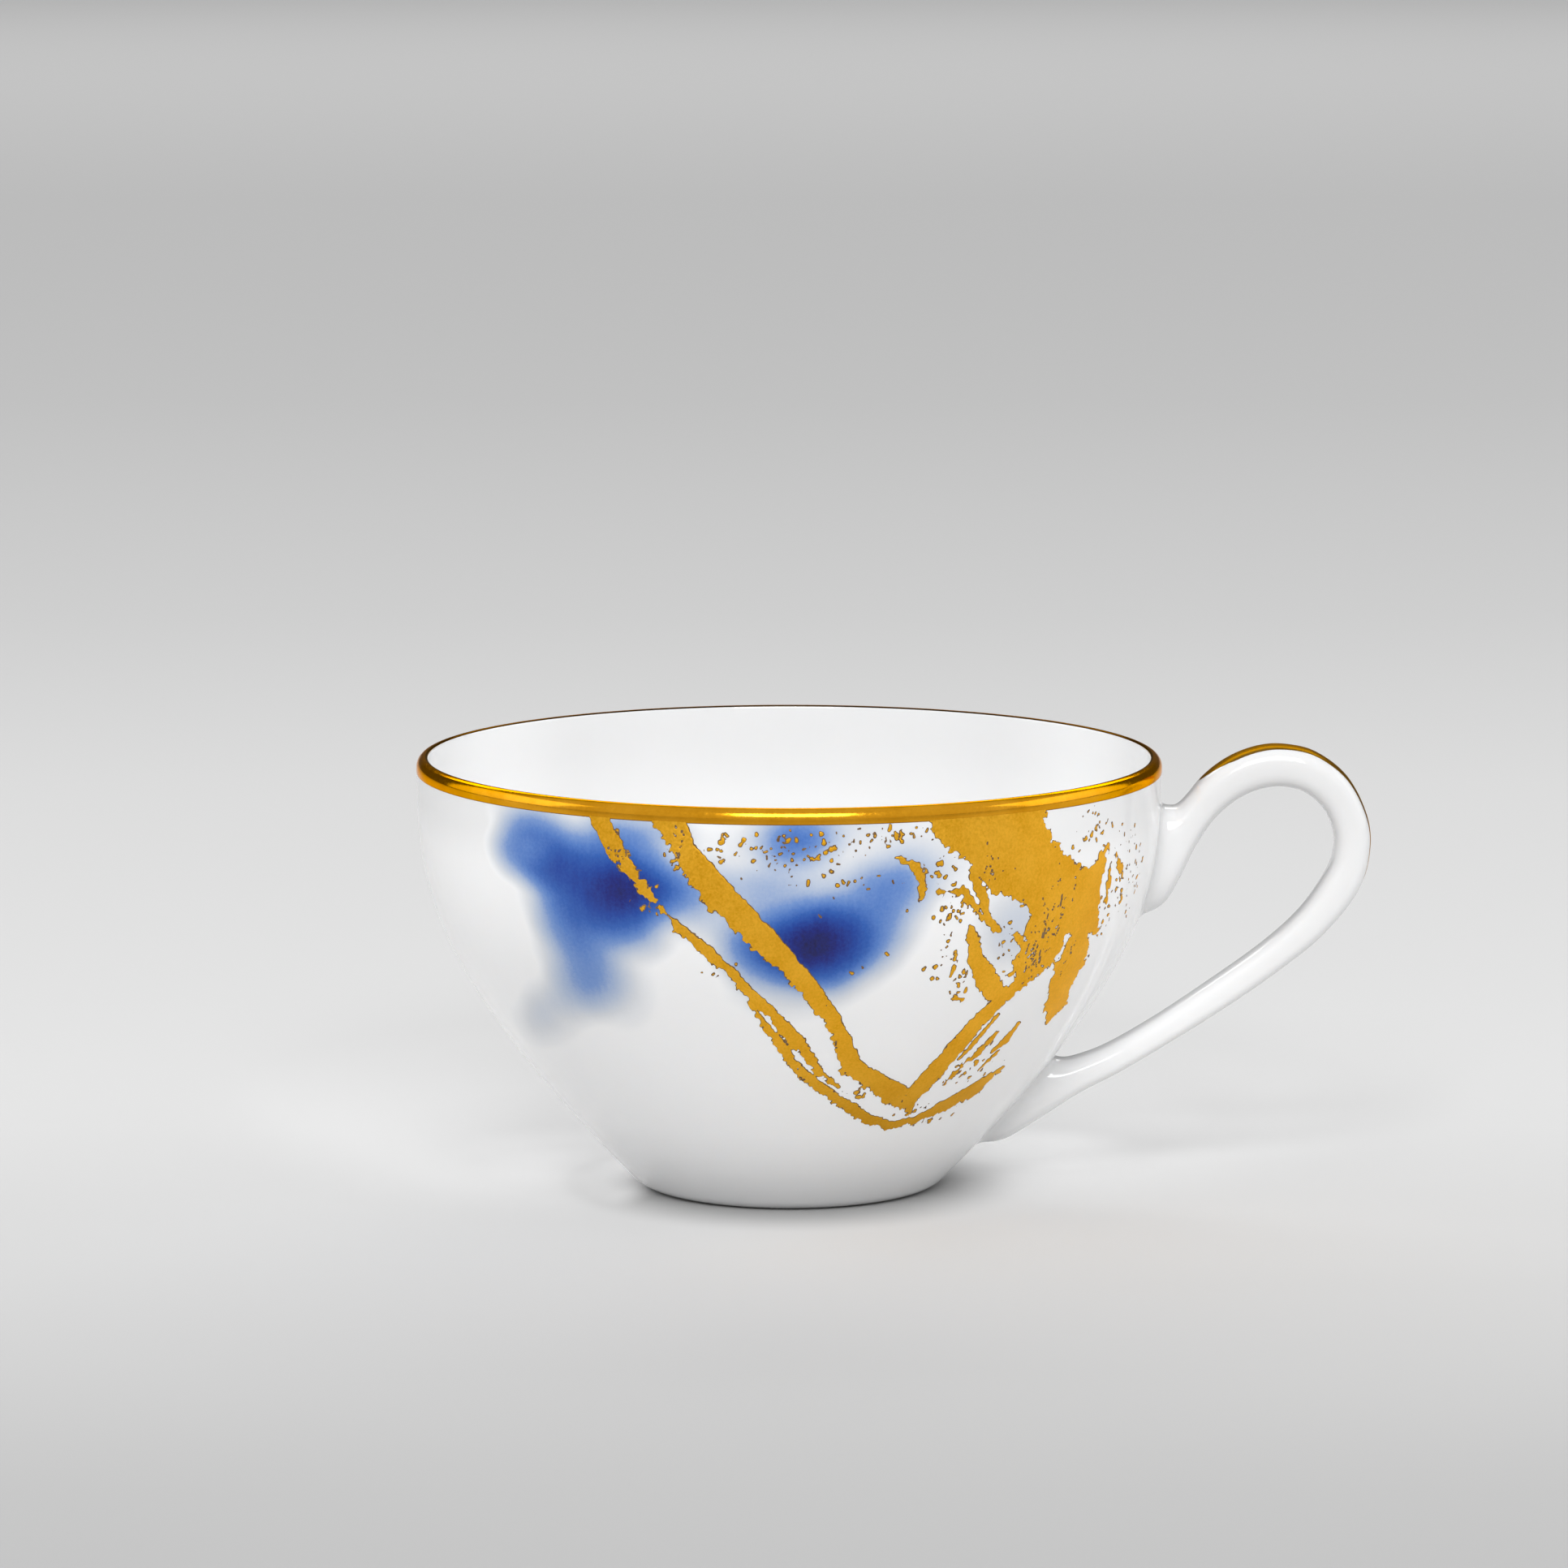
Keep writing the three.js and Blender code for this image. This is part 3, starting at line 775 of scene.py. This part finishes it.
# ---- Printed gold ----
# A loose, generic brush pattern. Each stroke is a brush line on the wall: the angle, the height and half
# the width at each point. After its points come how ragged its edge is on its right and on its left,
# looking along it.
STROKES = {
    "gold_stroke_left": [
        ([(-29.5, 55.0, 1.45), (-26.9, 50.6, 1.2), (-24.4, 48.0, 0.8), (-23.0, 46.4, 0.16)], 0.45, 0.7),
        ([(-22.9, 46.5, 0.4), (-21.9, 45.6, 0.55)], 0.8, 0.8),
        ([(-21.2, 44.8, 0.5), (-20.5, 44.2, 0.42)], 0.8, 0.8),
        ([(-19.7, 43.5, 0.46), (-18.8, 42.7, 0.5)], 0.8, 0.8),
        ([(-18.4, 42.3, 0.24), (-16.4, 40.7, 0.58), (-13.0, 38.2, 0.74), (-10.2, 36.0, 0.56),
          (-4.8, 31.3, 0.72), (1.0, 26.1, 0.88), (5.8, 21.4, 0.5), (10.1, 19.0, 0.05)], 0.6, 0.3),
        ([(-6.4, 31.2, 0.16), (-4.2, 28.2, 0.46), (0.4, 23.0, 0.6), (4.7, 19.9, 0.6), (9.8, 17.3, 0.72),
          (17.6, 14.1, 0.72), (24.0, 12.9, 0.78), (30.5, 13.2, 0.7), (38.0, 15.3, 1.25),
          (43.2, 16.9, 1.4), (48.0, 19.4, 0.3)], 0.62, 0.3),
    ],
    "gold_stroke_right": [
        ([(-18.3, 55.0, 1.9), (-15.6, 50.8, 1.4), (-13.2, 48.0, 1.8), (-9.2, 44.0, 2.0),
          (-4.3, 40.0, 1.7), (1.2, 35.0, 1.4), (6.3, 30.0, 1.05), (10.6, 24.0, 1.15), (12.2, 21.8, 1.25),
          (17.6, 19.4, 1.45), (23.6, 17.2, 1.7), (26.2, 16.2, 1.4), (28.0, 14.4, 0.3)], 0.74, 0.24),
    ],
    "gold_arm": [
        ([(26.8, 17.2, 1.5), (30.0, 21.0, 1.45), (35.2, 27.5, 1.25), (38.6, 30.4, 1.1)], 0.4, 0.34),
        ([(38.8, 27.8, 0.22), (34.2, 21.9, 0.26)], 0.28, 0.28),
        ([(37.0, 21.6, 0.2), (38.8, 23.2, 0.46), (40.8, 25.2, 0.24)], 0.55, 0.45),
        ([(42.0, 22.4, 0.24), (43.8, 23.6, 0.72), (45.0, 25.8, 0.12)], 0.45, 0.45),
        ([(33.4, 18.6, 0.16), (35.2, 20.2, 0.32), (36.6, 21.8, 0.14)], 0.55, 0.5),
        ([(40.6, 19.6, 0.16), (42.2, 21.0, 0.34), (43.6, 22.2, 0.14)], 0.55, 0.5),
    ],
    "gold_splash": [
        ([(28.6, 40.2, 0.4), (30.3, 36.2, 1.1), (33.6, 33.0, 1.5), (37.4, 30.5, 1.25),
          (39.8, 30.3, 0.9)], 0.44, 0.5),
        ([(22.8, 45.2, 0.26), (26.8, 45.0, 0.52), (30.5, 41.2, 0.26)], 0.6, 0.6),
        ([(28.3, 47.6, 0.6), (29.6, 44.8, 0.52), (31.6, 41.2, 0.6), (34.4, 39.0, 0.24)], 0.5, 0.5),
        ([(57.8, 45.4, 0.16), (57.8, 42.6, 0.4), (58.4, 40.0, 0.16)], 0.6, 0.6),
        ([(59.4, 47.0, 0.24), (60.8, 45.2, 0.56), (62.8, 43.2, 0.16)], 0.6, 0.6),
        ([(27.2, 35.2, 0.24), (26.5, 33.9, 0.42), (28.2, 32.8, 0.34)], 0.8, 0.8),
        ([(28.4, 31.0, 0.28), (29.8, 30.6, 0.24)], 0.8, 0.8),
        ([(36.4, 33.8, 0.2), (38.4, 33.2, 0.3), (40.4, 33.8, 0.24)], 0.8, 0.8),
        ([(37.4, 38.6, 0.2), (39.0, 37.0, 0.32), (40.6, 35.6, 0.2)], 0.8, 0.8),
        ([(15.8, 49.9, 0.16), (18.8, 48.6, 0.56), (19.8, 46.8, 0.56), (20.0, 44.4, 0.14)], 0.55, 0.5),
    ],
}
# The mass of the splash and the tongue that runs down from it, as outlines round their edges.
SPLASHES = {
    "gold_splash": [
        (20.3, 55.5), (21.2, 53.2), (24.5, 50.4), (28.0, 48.2), (32.0, 44.6), (38.8, 42.4), (39.8, 38.0),
        (38.4, 35.0), (40.0, 30.0), (47.4, 34.0), (49.0, 37.0), (53.6, 37.3), (58.0, 36.4), (55.6, 42.4),
        (56.4, 48.2), (51.2, 45.6), (45.6, 48.2), (43.8, 49.6), (41.4, 52.4), (41.0, 55.5),
    ],
    "gold_drip": [
        (49.4, 37.2), (54.4, 37.6), (57.6, 33.8), (56.0, 30.8), (58.0, 27.2), (55.0, 25.0), (51.4, 26.6),
        (48.8, 31.6),
    ],
}
PRINT_PIECES = ["gold_stroke_left", "gold_stroke_right", "gold_arm", "gold_splash", "gold_drip"]
SPLASH_ROUGH = 0.85
# Worn patches of the gold: the middle's angle and height, their spreads, how many cracks, the longest one
# in millimetres and its widest half width.
CRACKS = [
    (43.2, 38.0, 3.2, 4.2, 84, 1.8, 0.17),
    (42.0, 34.4, 2.8, 2.8, 30, 1.6, 0.23),
    (45.0, 43.0, 2.6, 2.4, 22, 1.4, 0.14),
    (32.6, 47.4, 3.6, 2.6, 28, 1.4, 0.15),
    (45.0, 45.6, 1.2, 1.8, 7, 1.2, 0.12),
    (47.5, 40.0, 4.0, 4.0, 12, 1.8, 0.2),
    (4.4, 27.6, 3.6, 4.2, 30, 1.4, 0.14),
    (-6.0, 31.2, 3.0, 2.6, 7, 1.4, 0.08),
    (-26.4, 49.8, 1.8, 2.8, 32, 0.9, 0.2),
    (-16.6, 51.4, 1.4, 2.0, 14, 0.8, 0.16),
    (22.0, 17.6, 5.0, 0.9, 10, 0.9, 0.1),
    (51.4, 33.8, 1.2, 2.6, 12, 1.8, 0.16),
]
# Fields of fine spatter: the middle's angle and height, their spreads, how many drops and their largest
# half width.
SPATTER = [
    (-5.0, 51.3, 7.0, 2.4, 48, 0.24),
    (5.0, 50.5, 9.0, 3.2, 60, 0.25),
    (14.0, 52.4, 6.0, 1.5, 44, 0.18),
    (5.0, 47.0, 10.0, 2.2, 16, 0.22),
    (-21.8, 45.0, 2.0, 2.0, 26, 0.22),
    (20.0, 47.0, 4.2, 2.6, 34, 0.22),
    (25.0, 42.4, 3.0, 3.2, 38, 0.25),
    (26.0, 36.0, 4.0, 2.8, 22, 0.2),
    (28.2, 33.6, 1.8, 1.8, 14, 0.3),
    (36.0, 38.0, 2.6, 3.2, 24, 0.22),
    (-17.4, 49.4, 1.4, 1.9, 16, 0.28),
    (53.0, 50.8, 4.4, 2.2, 32, 0.2),
    (62.0, 47.6, 5.0, 2.8, 34, 0.16),
    (66.0, 43.0, 5.0, 3.6, 46, 0.16),
    (60.0, 40.5, 2.6, 3.4, 26, 0.24),
    (39.5, 20.0, 5.4, 1.8, 26, 0.22),
    (31.0, 14.8, 5.0, 0.7, 16, 0.22),
    (36.0, 12.9, 4.0, 0.4, 9, 0.28),
    (15.0, 17.6, 5.0, 1.0, 10, 0.28),
    (-10.0, 35.6, 5.0, 3.0, 8, 0.16),
    (12.0, 36.0, 8.0, 6.0, 4, 0.2),
]
# How far round a stroke, a crack and a drop the grid is looked at
STROKE_MARGIN = 3.0
CRACK_MARGIN = 1.5
DROP_MARGIN = 1.2
SMALLEST_CRACK = 0.04
SMALLEST_DROP = -0.10
# Small cracks and drops are the commoner by these powers
CRACK_POWER = 1.5
DROP_POWER = 1.4
DROP_LENGTH = 0.55
# How rough their edges are, and how far below the print's top the drops start
CRACK_ROUGH = 0.08
DROP_ROUGH = 0.2
DROP_TOP = 0.6
# A mark's spread as a share of its field's, how flat it lies, and its end's share of its width
MARK_SPREAD = 0.6
MARK_FLATNESS = 0.7
MARK_TAPER = 0.5
# The print is worked out on a grid of these cells, over this part of the wall
CELL = 0.115
PRINT_ANGLES = (-34.0, 78.0)
PRINT_HEIGHTS = (9.8, CUP_HEIGHT - GILDING_DROP + 0.25)
# How far the gold stands off the wall at its edges, and how much more inside this depth
PRINT_STAND = 0.03
PRINT_CROWN = 0.02
PRINT_SLOPE = 0.15
OUTLINE_WIDTH = 0.15
OUTLINE_PATCH = 1.3
OUTLINE_UNDER = 0.1
NOISE_COLUMNS = 97
NOISE_ROWS = 89
# Depth of a point that no gold is near, in millimetres
FAR_OUT = -9.0
# One degree round the rim, in millimetres
RIM_DEGREE = math.radians(RIM_RADIUS)


def soft_noise(x, y, seed):
    """Smooth random values from 0 to 1, one lattice step apart."""
    table = np.random.default_rng(seed).random((NOISE_COLUMNS, NOISE_ROWS))
    column, row = np.floor(x).astype(int), np.floor(y).astype(int)
    u, v = x - column, y - row
    u, v = u * u * (3 - 2 * u), v * v * (3 - 2 * v)
    c0, c1 = column % NOISE_COLUMNS, (column + 1) % NOISE_COLUMNS
    r0, r1 = row % NOISE_ROWS, (row + 1) % NOISE_ROWS
    low = table[c0, r0] * (1 - u) + table[c1, r0] * u
    high = table[c0, r1] * (1 - u) + table[c1, r1] * u
    return low * (1 - v) + high * v


def ragged_noise(x, y, seed):
    """Noise about 0 with the torn look of a dry brush's edge."""
    total = 0.0
    for step, (size, share) in enumerate([(1.7, 0.34), (0.70, 0.38), (0.34, 0.28)]):
        total += share * soft_noise(x / size, y / size, seed + step)
    return 2.6 * (total - 0.5)


class PrintField:
    """How far inside the gold each point of a grid on the wall is, in millimetres; below 0 is outside."""

    def __init__(self):
        low, high = (length_at(z) for z in PRINT_HEIGHTS)
        self.lengths = np.arange(low, high, CELL)
        self.angles = np.arange(*PRINT_ANGLES, CELL / RIM_DEGREE)
        self.angle, self.length = np.meshgrid(self.angles, self.lengths, indexing="ij")
        self.degree = np.radians(wall_at(self.length)[0])
        self.depth = np.full(self.angle.shape, FAR_OUT)
        self.owner = np.zeros(self.angle.shape, int)
        self.ragged = ragged_noise(self.angle * RIM_DEGREE, self.length, 11)

    def window(self, points, margin):
        """The part of the grid that points lie in, with a margin in millimetres: 2 degrees for each."""
        angle = [point[0] for point in points]
        length = length_at(np.array([point[1] for point in points]))
        columns = np.searchsorted(self.angles, [min(angle) - margin * 2, max(angle) + margin * 2])
        rows = np.searchsorted(self.lengths, [length.min() - margin, length.max() + margin])
        return slice(*columns), slice(*rows)

    def line_depth(self, points, area, rough_right, rough_left):
        """Depth inside a line whose width changes along it, with a ragged edge on each side."""
        best = np.full(self.angle[area].shape, FAR_OUT)
        for (a0, z0, w0), (a1, z1, w1) in zip(points[:-1], points[1:]):
            s0, s1 = length_at(z0), length_at(z1)
            degree = math.radians(wall_at((s0 + s1) / 2)[0])
            run = np.array([(a1 - a0) * degree, s1 - s0])
            x = (self.angle[area] - a0) * degree
            y = self.length[area] - s0
            share = np.clip((x * run[0] + y * run[1]) / max(run @ run, 1e-9), 0, 1)
            side = run[0] * y - run[1] * x
            rough = np.where(side < 0, rough_right, rough_left)
            distance = np.hypot(x - share * run[0], y - share * run[1])
            inside = w0 + share * (w1 - w0) - distance + rough * self.ragged[area]
            best = np.maximum(best, inside)
        return best

    def outline_depth(self, points, area):
        """Depth inside an outline."""
        loop = np.array([(a, length_at(z)) for a, z in points])
        angle, length, degree = self.angle[area], self.length[area], self.degree[area]
        inside = np.zeros(angle.shape, bool)
        nearest = np.full(angle.shape, np.inf)
        for (a0, s0), (a1, s1) in zip(loop, np.roll(loop, -1, axis=0)):
            crosses = (s0 > length) != (s1 > length)
            at = a0 + (length - s0) / (s1 - s0 if s1 != s0 else 1e-9) * (a1 - a0)
            inside ^= crosses & (angle < at)
            run_x, run_y = (a1 - a0) * degree, s1 - s0
            x, y = (angle - a0) * degree, length - s0
            share = np.clip((x * run_x + y * run_y) / np.maximum(run_x**2 + run_y**2, 1e-9), 0, 1)
            nearest = np.minimum(nearest, np.hypot(x - share * run_x, y - share * run_y))
        return np.where(inside, nearest, -nearest)

    def add(self, depth, area, name):
        """Lays gold that belongs to a piece where it is deeper than what is there."""
        owner = PRINT_PIECES.index(name)
        higher = depth > self.depth[area]
        self.depth[area] = np.where(higher, depth, self.depth[area])
        self.owner[area] = np.where(higher, owner, self.owner[area])


def random_mark(source, angle, height, wide, high, longest, size):
    """A short line at a random place near a middle, that narrows to its end."""
    start_angle = angle + wide * MARK_SPREAD * source.normal()
    start_height = height + high * MARK_SPREAD * source.normal()
    length = longest * source.random()
    turn = math.pi * source.random()
    end_angle = start_angle + length * math.cos(turn) * MARK_FLATNESS / RIM_DEGREE
    end_height = start_height + length * math.sin(turn)
    return [(start_angle, start_height, size), (end_angle, end_height, size * MARK_TAPER)]


def paint_gold():
    """All of the gold print, as depths on the grid and the piece that each point belongs to."""
    field = PrintField()
    for name, strokes in STROKES.items():
        for points, rough_right, rough_left in strokes:
            area = field.window(points, STROKE_MARGIN)
            field.add(field.line_depth(points, area, rough_right, rough_left), area, name)
    for name, points in SPLASHES.items():
        area = field.window(points, STROKE_MARGIN)
        field.add(field.outline_depth(points, area) + SPLASH_ROUGH * field.ragged[area], area, name)
    wear = np.random.default_rng(9)
    for angle, height, wide, high, count, longest, widest in CRACKS:
        for _ in range(count):
            size = SMALLEST_CRACK + (widest - SMALLEST_CRACK) * wear.random() ** CRACK_POWER
            crack = random_mark(wear, angle, height, wide, high, longest, size)
            area = field.window(crack, CRACK_MARGIN)
            depth = field.line_depth(crack, area, CRACK_ROUGH, CRACK_ROUGH)
            field.depth[area] = np.minimum(field.depth[area], -depth)
    scatter = np.random.default_rng(5)
    for angle, height, wide, high, count, largest in SPATTER:
        for _ in range(count):
            size = SMALLEST_DROP + (largest - SMALLEST_DROP) * scatter.random() ** DROP_POWER
            drop = random_mark(scatter, angle, height, wide, high, DROP_LENGTH, size)
            if drop[0][1] < PRINT_HEIGHTS[1] - DROP_TOP:
                area = field.window(drop, DROP_MARGIN)
                field.add(field.line_depth(drop, area, DROP_ROUGH, DROP_ROUGH), area, "gold_splash")
    return field


def film_mesh(name, field, depth, chosen, stand, material):
    """A skin over the chosen grid cells; corners outside the depth's edge are drawn in to it."""
    slope_a, slope_b = np.gradient(depth)
    steep = np.maximum(slope_a**2 + slope_b**2, 1e-6)
    pull = np.where(depth < 0, -depth, 0)
    limit = 1.0 / np.maximum(pull * np.sqrt(1 / steep), 1.0)
    shift_a = pull * slope_a / steep * limit
    shift_b = pull * slope_b / steep * limit
    columns = depth.shape[1]
    i, j = np.nonzero(chosen)
    here, beyond = i * columns + j, (i + 1) * columns + j
    corners = np.stack([here, beyond, beyond + 1, here + 1], 1)
    used, faces = np.unique(corners, return_inverse=True)
    faces = faces.reshape(-1, 4)
    row, column = used // columns, used % columns
    angle = field.angles[row] + shift_a[row, column] * CELL / RIM_DEGREE
    length = field.lengths[column] + shift_b[row, column] * CELL
    points = on_wall(angle, length, stand[row, column])
    return add_mesh(name, points, faces, material)


def cell_range(values):
    """The lowest and highest of each cell's four corners."""
    corners = np.stack([values[:-1, :-1], values[1:, :-1], values[1:, 1:], values[:-1, 1:]])
    return corners.min(0), corners.max(0)


def build_print():
    """The gold's pieces, and the brown outline that shows round them."""
    field = paint_gold()
    lowest, highest = cell_range(field.depth)
    gold_stand = PRINT_STAND + PRINT_CROWN * np.clip(field.depth / PRINT_SLOPE, 0, 1)
    for index, name in enumerate(PRINT_PIECES):
        chosen = (highest > 0) & (field.owner[:-1, :-1] == index)
        piece = film_mesh("printed_" + name, field, field.depth, chosen, gold_stand, print_gold)
        keep(piece, "gold", name)
    # the outline reaches a little past the gold, by a width that varies, and a little way under it
    patches = soft_noise(field.angle * RIM_DEGREE / OUTLINE_PATCH, field.length / OUTLINE_PATCH, 41)
    width = OUTLINE_WIDTH * (0.7 + 0.7 * patches)
    margin = field.depth + width
    _, reach = cell_range(margin)
    stand = -0.01 + 0.03 * np.clip(margin / width, 0, 1)
    chosen = (reach > 0) & (lowest < OUTLINE_UNDER)
    keep(film_mesh("printed_outline", field, margin, chosen, stand, print_brown), "gold")


build_print()

# ---- Studio ----
FLOOR_SIZE = 14.0
# Painted light and shade on the floor: how light it is painted by how far it is behind the cup
FLOOR_PAINTED_LIGHT = [
    (-0.3, 0.37), (-0.16, 0.446), (-0.04, 0.598), (0.0, 0.632), (0.04, 0.658), (0.35, 0.63), (0.6, 0.56),
    (1.1, 0.493), (2.0, 0.443), (4.0, 0.442),
]
# The painted pool of light on the floor: how far its middle is behind the cup, its reach and its gain
POOL_BEHIND = 0.050
POOL_REACH = (0.02, 0.085)
POOL_GAIN = 1.36
# The painted soft shadow round the foot lies a little ahead of it
SHADOW_AHEAD = 0.0025
SHADOW_REACH = (0.0175, 0.031)
SHADOW_LEVEL = 0.56
# Painted light fills the shadow in at its left: the gain, its reach, the way to the left, and where it sets
# in
LEFT_FILL = 1.15
LEFT_FILL_REACH = (0.018, 0.029)
LEFT_WAY = (-0.94, 0.34)
LEFT_FILL_START = (0.0125, 0.0175)
# Smaller patches of painted light round the foot: the place across and behind, and the gain
SIDE_FILLS = [
    (-0.026, 0.008, 1.14),
    (0.027, 0.006, 1.10),
    (-0.029, 0.022, 1.12),
    (0.0325, 0.021, 1.27),
]
SIDE_FILL_REACH = (0.002, 0.017)
# The light of the tent and of the room, the way to the tent's middle, and its edge along that way
TENT_LIGHT = 0.86
ROOM_LIGHT = 0.12
TENT_WAY = (0, -0.9, 0.75)
TENT_EDGE = (-0.35, 0.45)
CAMERA_ASIDE = -0.00067
CAMERA_AWAY = 0.9
CAMERA_HEIGHT = 0.18488
CAMERA_PITCH = 8.392
CAMERA_LENS = 161.8
CAMERA_SENSOR = 36
# Each holds its name, its place, the point it faces, its width, its height and its power
SOFTBOXES = [
    ("key", (0.02, -1.66, 1.28), (0, 0, 0.03), 1.1, 0.9, 31.0),
    ("side", (-1.5, 0.30, 0.64), (0, 0, 0.04), 1.6, 1.15, 5.6),
    ("side", (1.5, 0.30, 0.64), (0, 0, 0.04), 1.6, 1.15, 5.6),
    ("backdrop", (0.0, 3.4, 2.2), (0, 2.6, 0), 4.0, 1.6, 52.0),
]


def build_floor():
    """A pale floor with painted light and shade: tones that change with the distance behind the cup, a
    painted pool of light behind the cup, a painted soft shadow round its foot and painted light that fills
    that shadow in beside the foot.
    """
    nodes = Nodes("studio_floor")
    across, y, _ = nodes.about_axis()

    def from_place(place_x, place_y):
        return nodes.distance(nodes.math("SUBTRACT", across, place_x), nodes.math("SUBTRACT", y, place_y))

    low, high = FLOOR_PAINTED_LIGHT[0][0], FLOOR_PAINTED_LIGHT[-1][0]
    stops = [((place - low) / (high - low), (tone, tone, tone)) for place, tone in FLOOR_PAINTED_LIGHT]
    painted_tones = nodes.ramp(nodes.remap(y, low, high, smooth=False), stops)
    # painted light and shade: the pool behind the cup, the shadow round the foot and the fills beside it
    level = nodes.remap(from_place(0, POOL_BEHIND), *POOL_REACH, POOL_GAIN, 1.0)
    shadow = nodes.remap(from_place(0, -SHADOW_AHEAD), *SHADOW_REACH, SHADOW_LEVEL, 1.0)
    to_left = nodes.math("MULTIPLY_ADD", y, LEFT_WAY[1], nodes.math("MULTIPLY", across, LEFT_WAY[0]))
    near_foot = nodes.remap(from_place(0, 0), *LEFT_FILL_REACH, LEFT_FILL, 0.0)
    left_fill = nodes.math("MULTIPLY_ADD", near_foot, nodes.remap(to_left, *LEFT_FILL_START), 1.0)
    fills = [nodes.remap(from_place(*place), *SIDE_FILL_REACH, gain, 1.0) for *place, gain in SIDE_FILLS]
    for factor in (shadow, left_fill, *fills):
        level = nodes.math("MULTIPLY", level, factor)
    nodes.set(base_color=nodes.times(painted_tones, level), roughness=0.9, ior=1.3)
    mesh = bpy.data.meshes.new("studio_floor")
    half = FLOOR_SIZE / 2
    corners = [(-half, -half, 0), (half, -half, 0), (half, half, 0), (-half, half, 0)]
    mesh.from_pydata(corners, [], [(0, 1, 2, 3)])
    mesh.materials.append(nodes.material)
    floor = bpy.data.objects.new("studio_floor", mesh)
    scene.collection.objects.link(floor)


def add_softbox(name, place, aim, width, height, power):
    light = bpy.data.lights.new(name, "AREA")
    light.shape = "RECTANGLE"
    light.size = width
    light.size_y = height
    light.energy = power
    lamp = bpy.data.objects.new(name, light)
    lamp.location = place
    lamp.rotation_euler = (Vector(aim) - Vector(place)).to_track_quat("-Z", "Y").to_euler()
    scene.collection.objects.link(lamp)


def build_world():
    """A white tent in front of the cup and over it, and a dim room behind."""
    world = bpy.data.worlds.new("studio")
    scene.world = world
    world.use_nodes = True
    tree = world.node_tree
    tree.nodes.clear()
    direction = tree.nodes.new("ShaderNodeTexCoord").outputs["Generated"]
    facing = tree.nodes.new("ShaderNodeVectorMath")
    facing.operation = "DOT_PRODUCT"
    facing.inputs[1].default_value = TENT_WAY
    tree.links.new(direction, facing.inputs[0])
    tent = tree.nodes.new("ShaderNodeMapRange")
    tent.interpolation_type = "SMOOTHSTEP"
    for socket, value in zip(list(tent.inputs)[1:5], (*TENT_EDGE, ROOM_LIGHT, TENT_LIGHT)):
        socket.default_value = value
    tree.links.new(facing.outputs["Value"], tent.inputs[0])
    output = tree.nodes.new("ShaderNodeOutputWorld")
    background = tree.nodes.new("ShaderNodeBackground")
    tree.links.new(tent.outputs[0], background.inputs["Strength"])
    tree.links.new(background.outputs[0], output.inputs[0])


def build_camera():
    lens = bpy.data.cameras.new("camera")
    lens.sensor_width = CAMERA_SENSOR
    lens.lens = CAMERA_LENS
    camera = bpy.data.objects.new("camera", lens)
    camera.location = (AXIS_X * MM + CAMERA_ASIDE, -CAMERA_AWAY, CAMERA_HEIGHT)
    camera.rotation_euler = (math.radians(90 - CAMERA_PITCH), 0, 0)
    scene.collection.objects.link(camera)
    scene.camera = camera


build_floor()
build_world()
build_camera()
for softbox in SOFTBOXES:
    add_softbox(*softbox)
scene.view_settings.view_transform = "Standard"
scene.view_settings.look = "None"
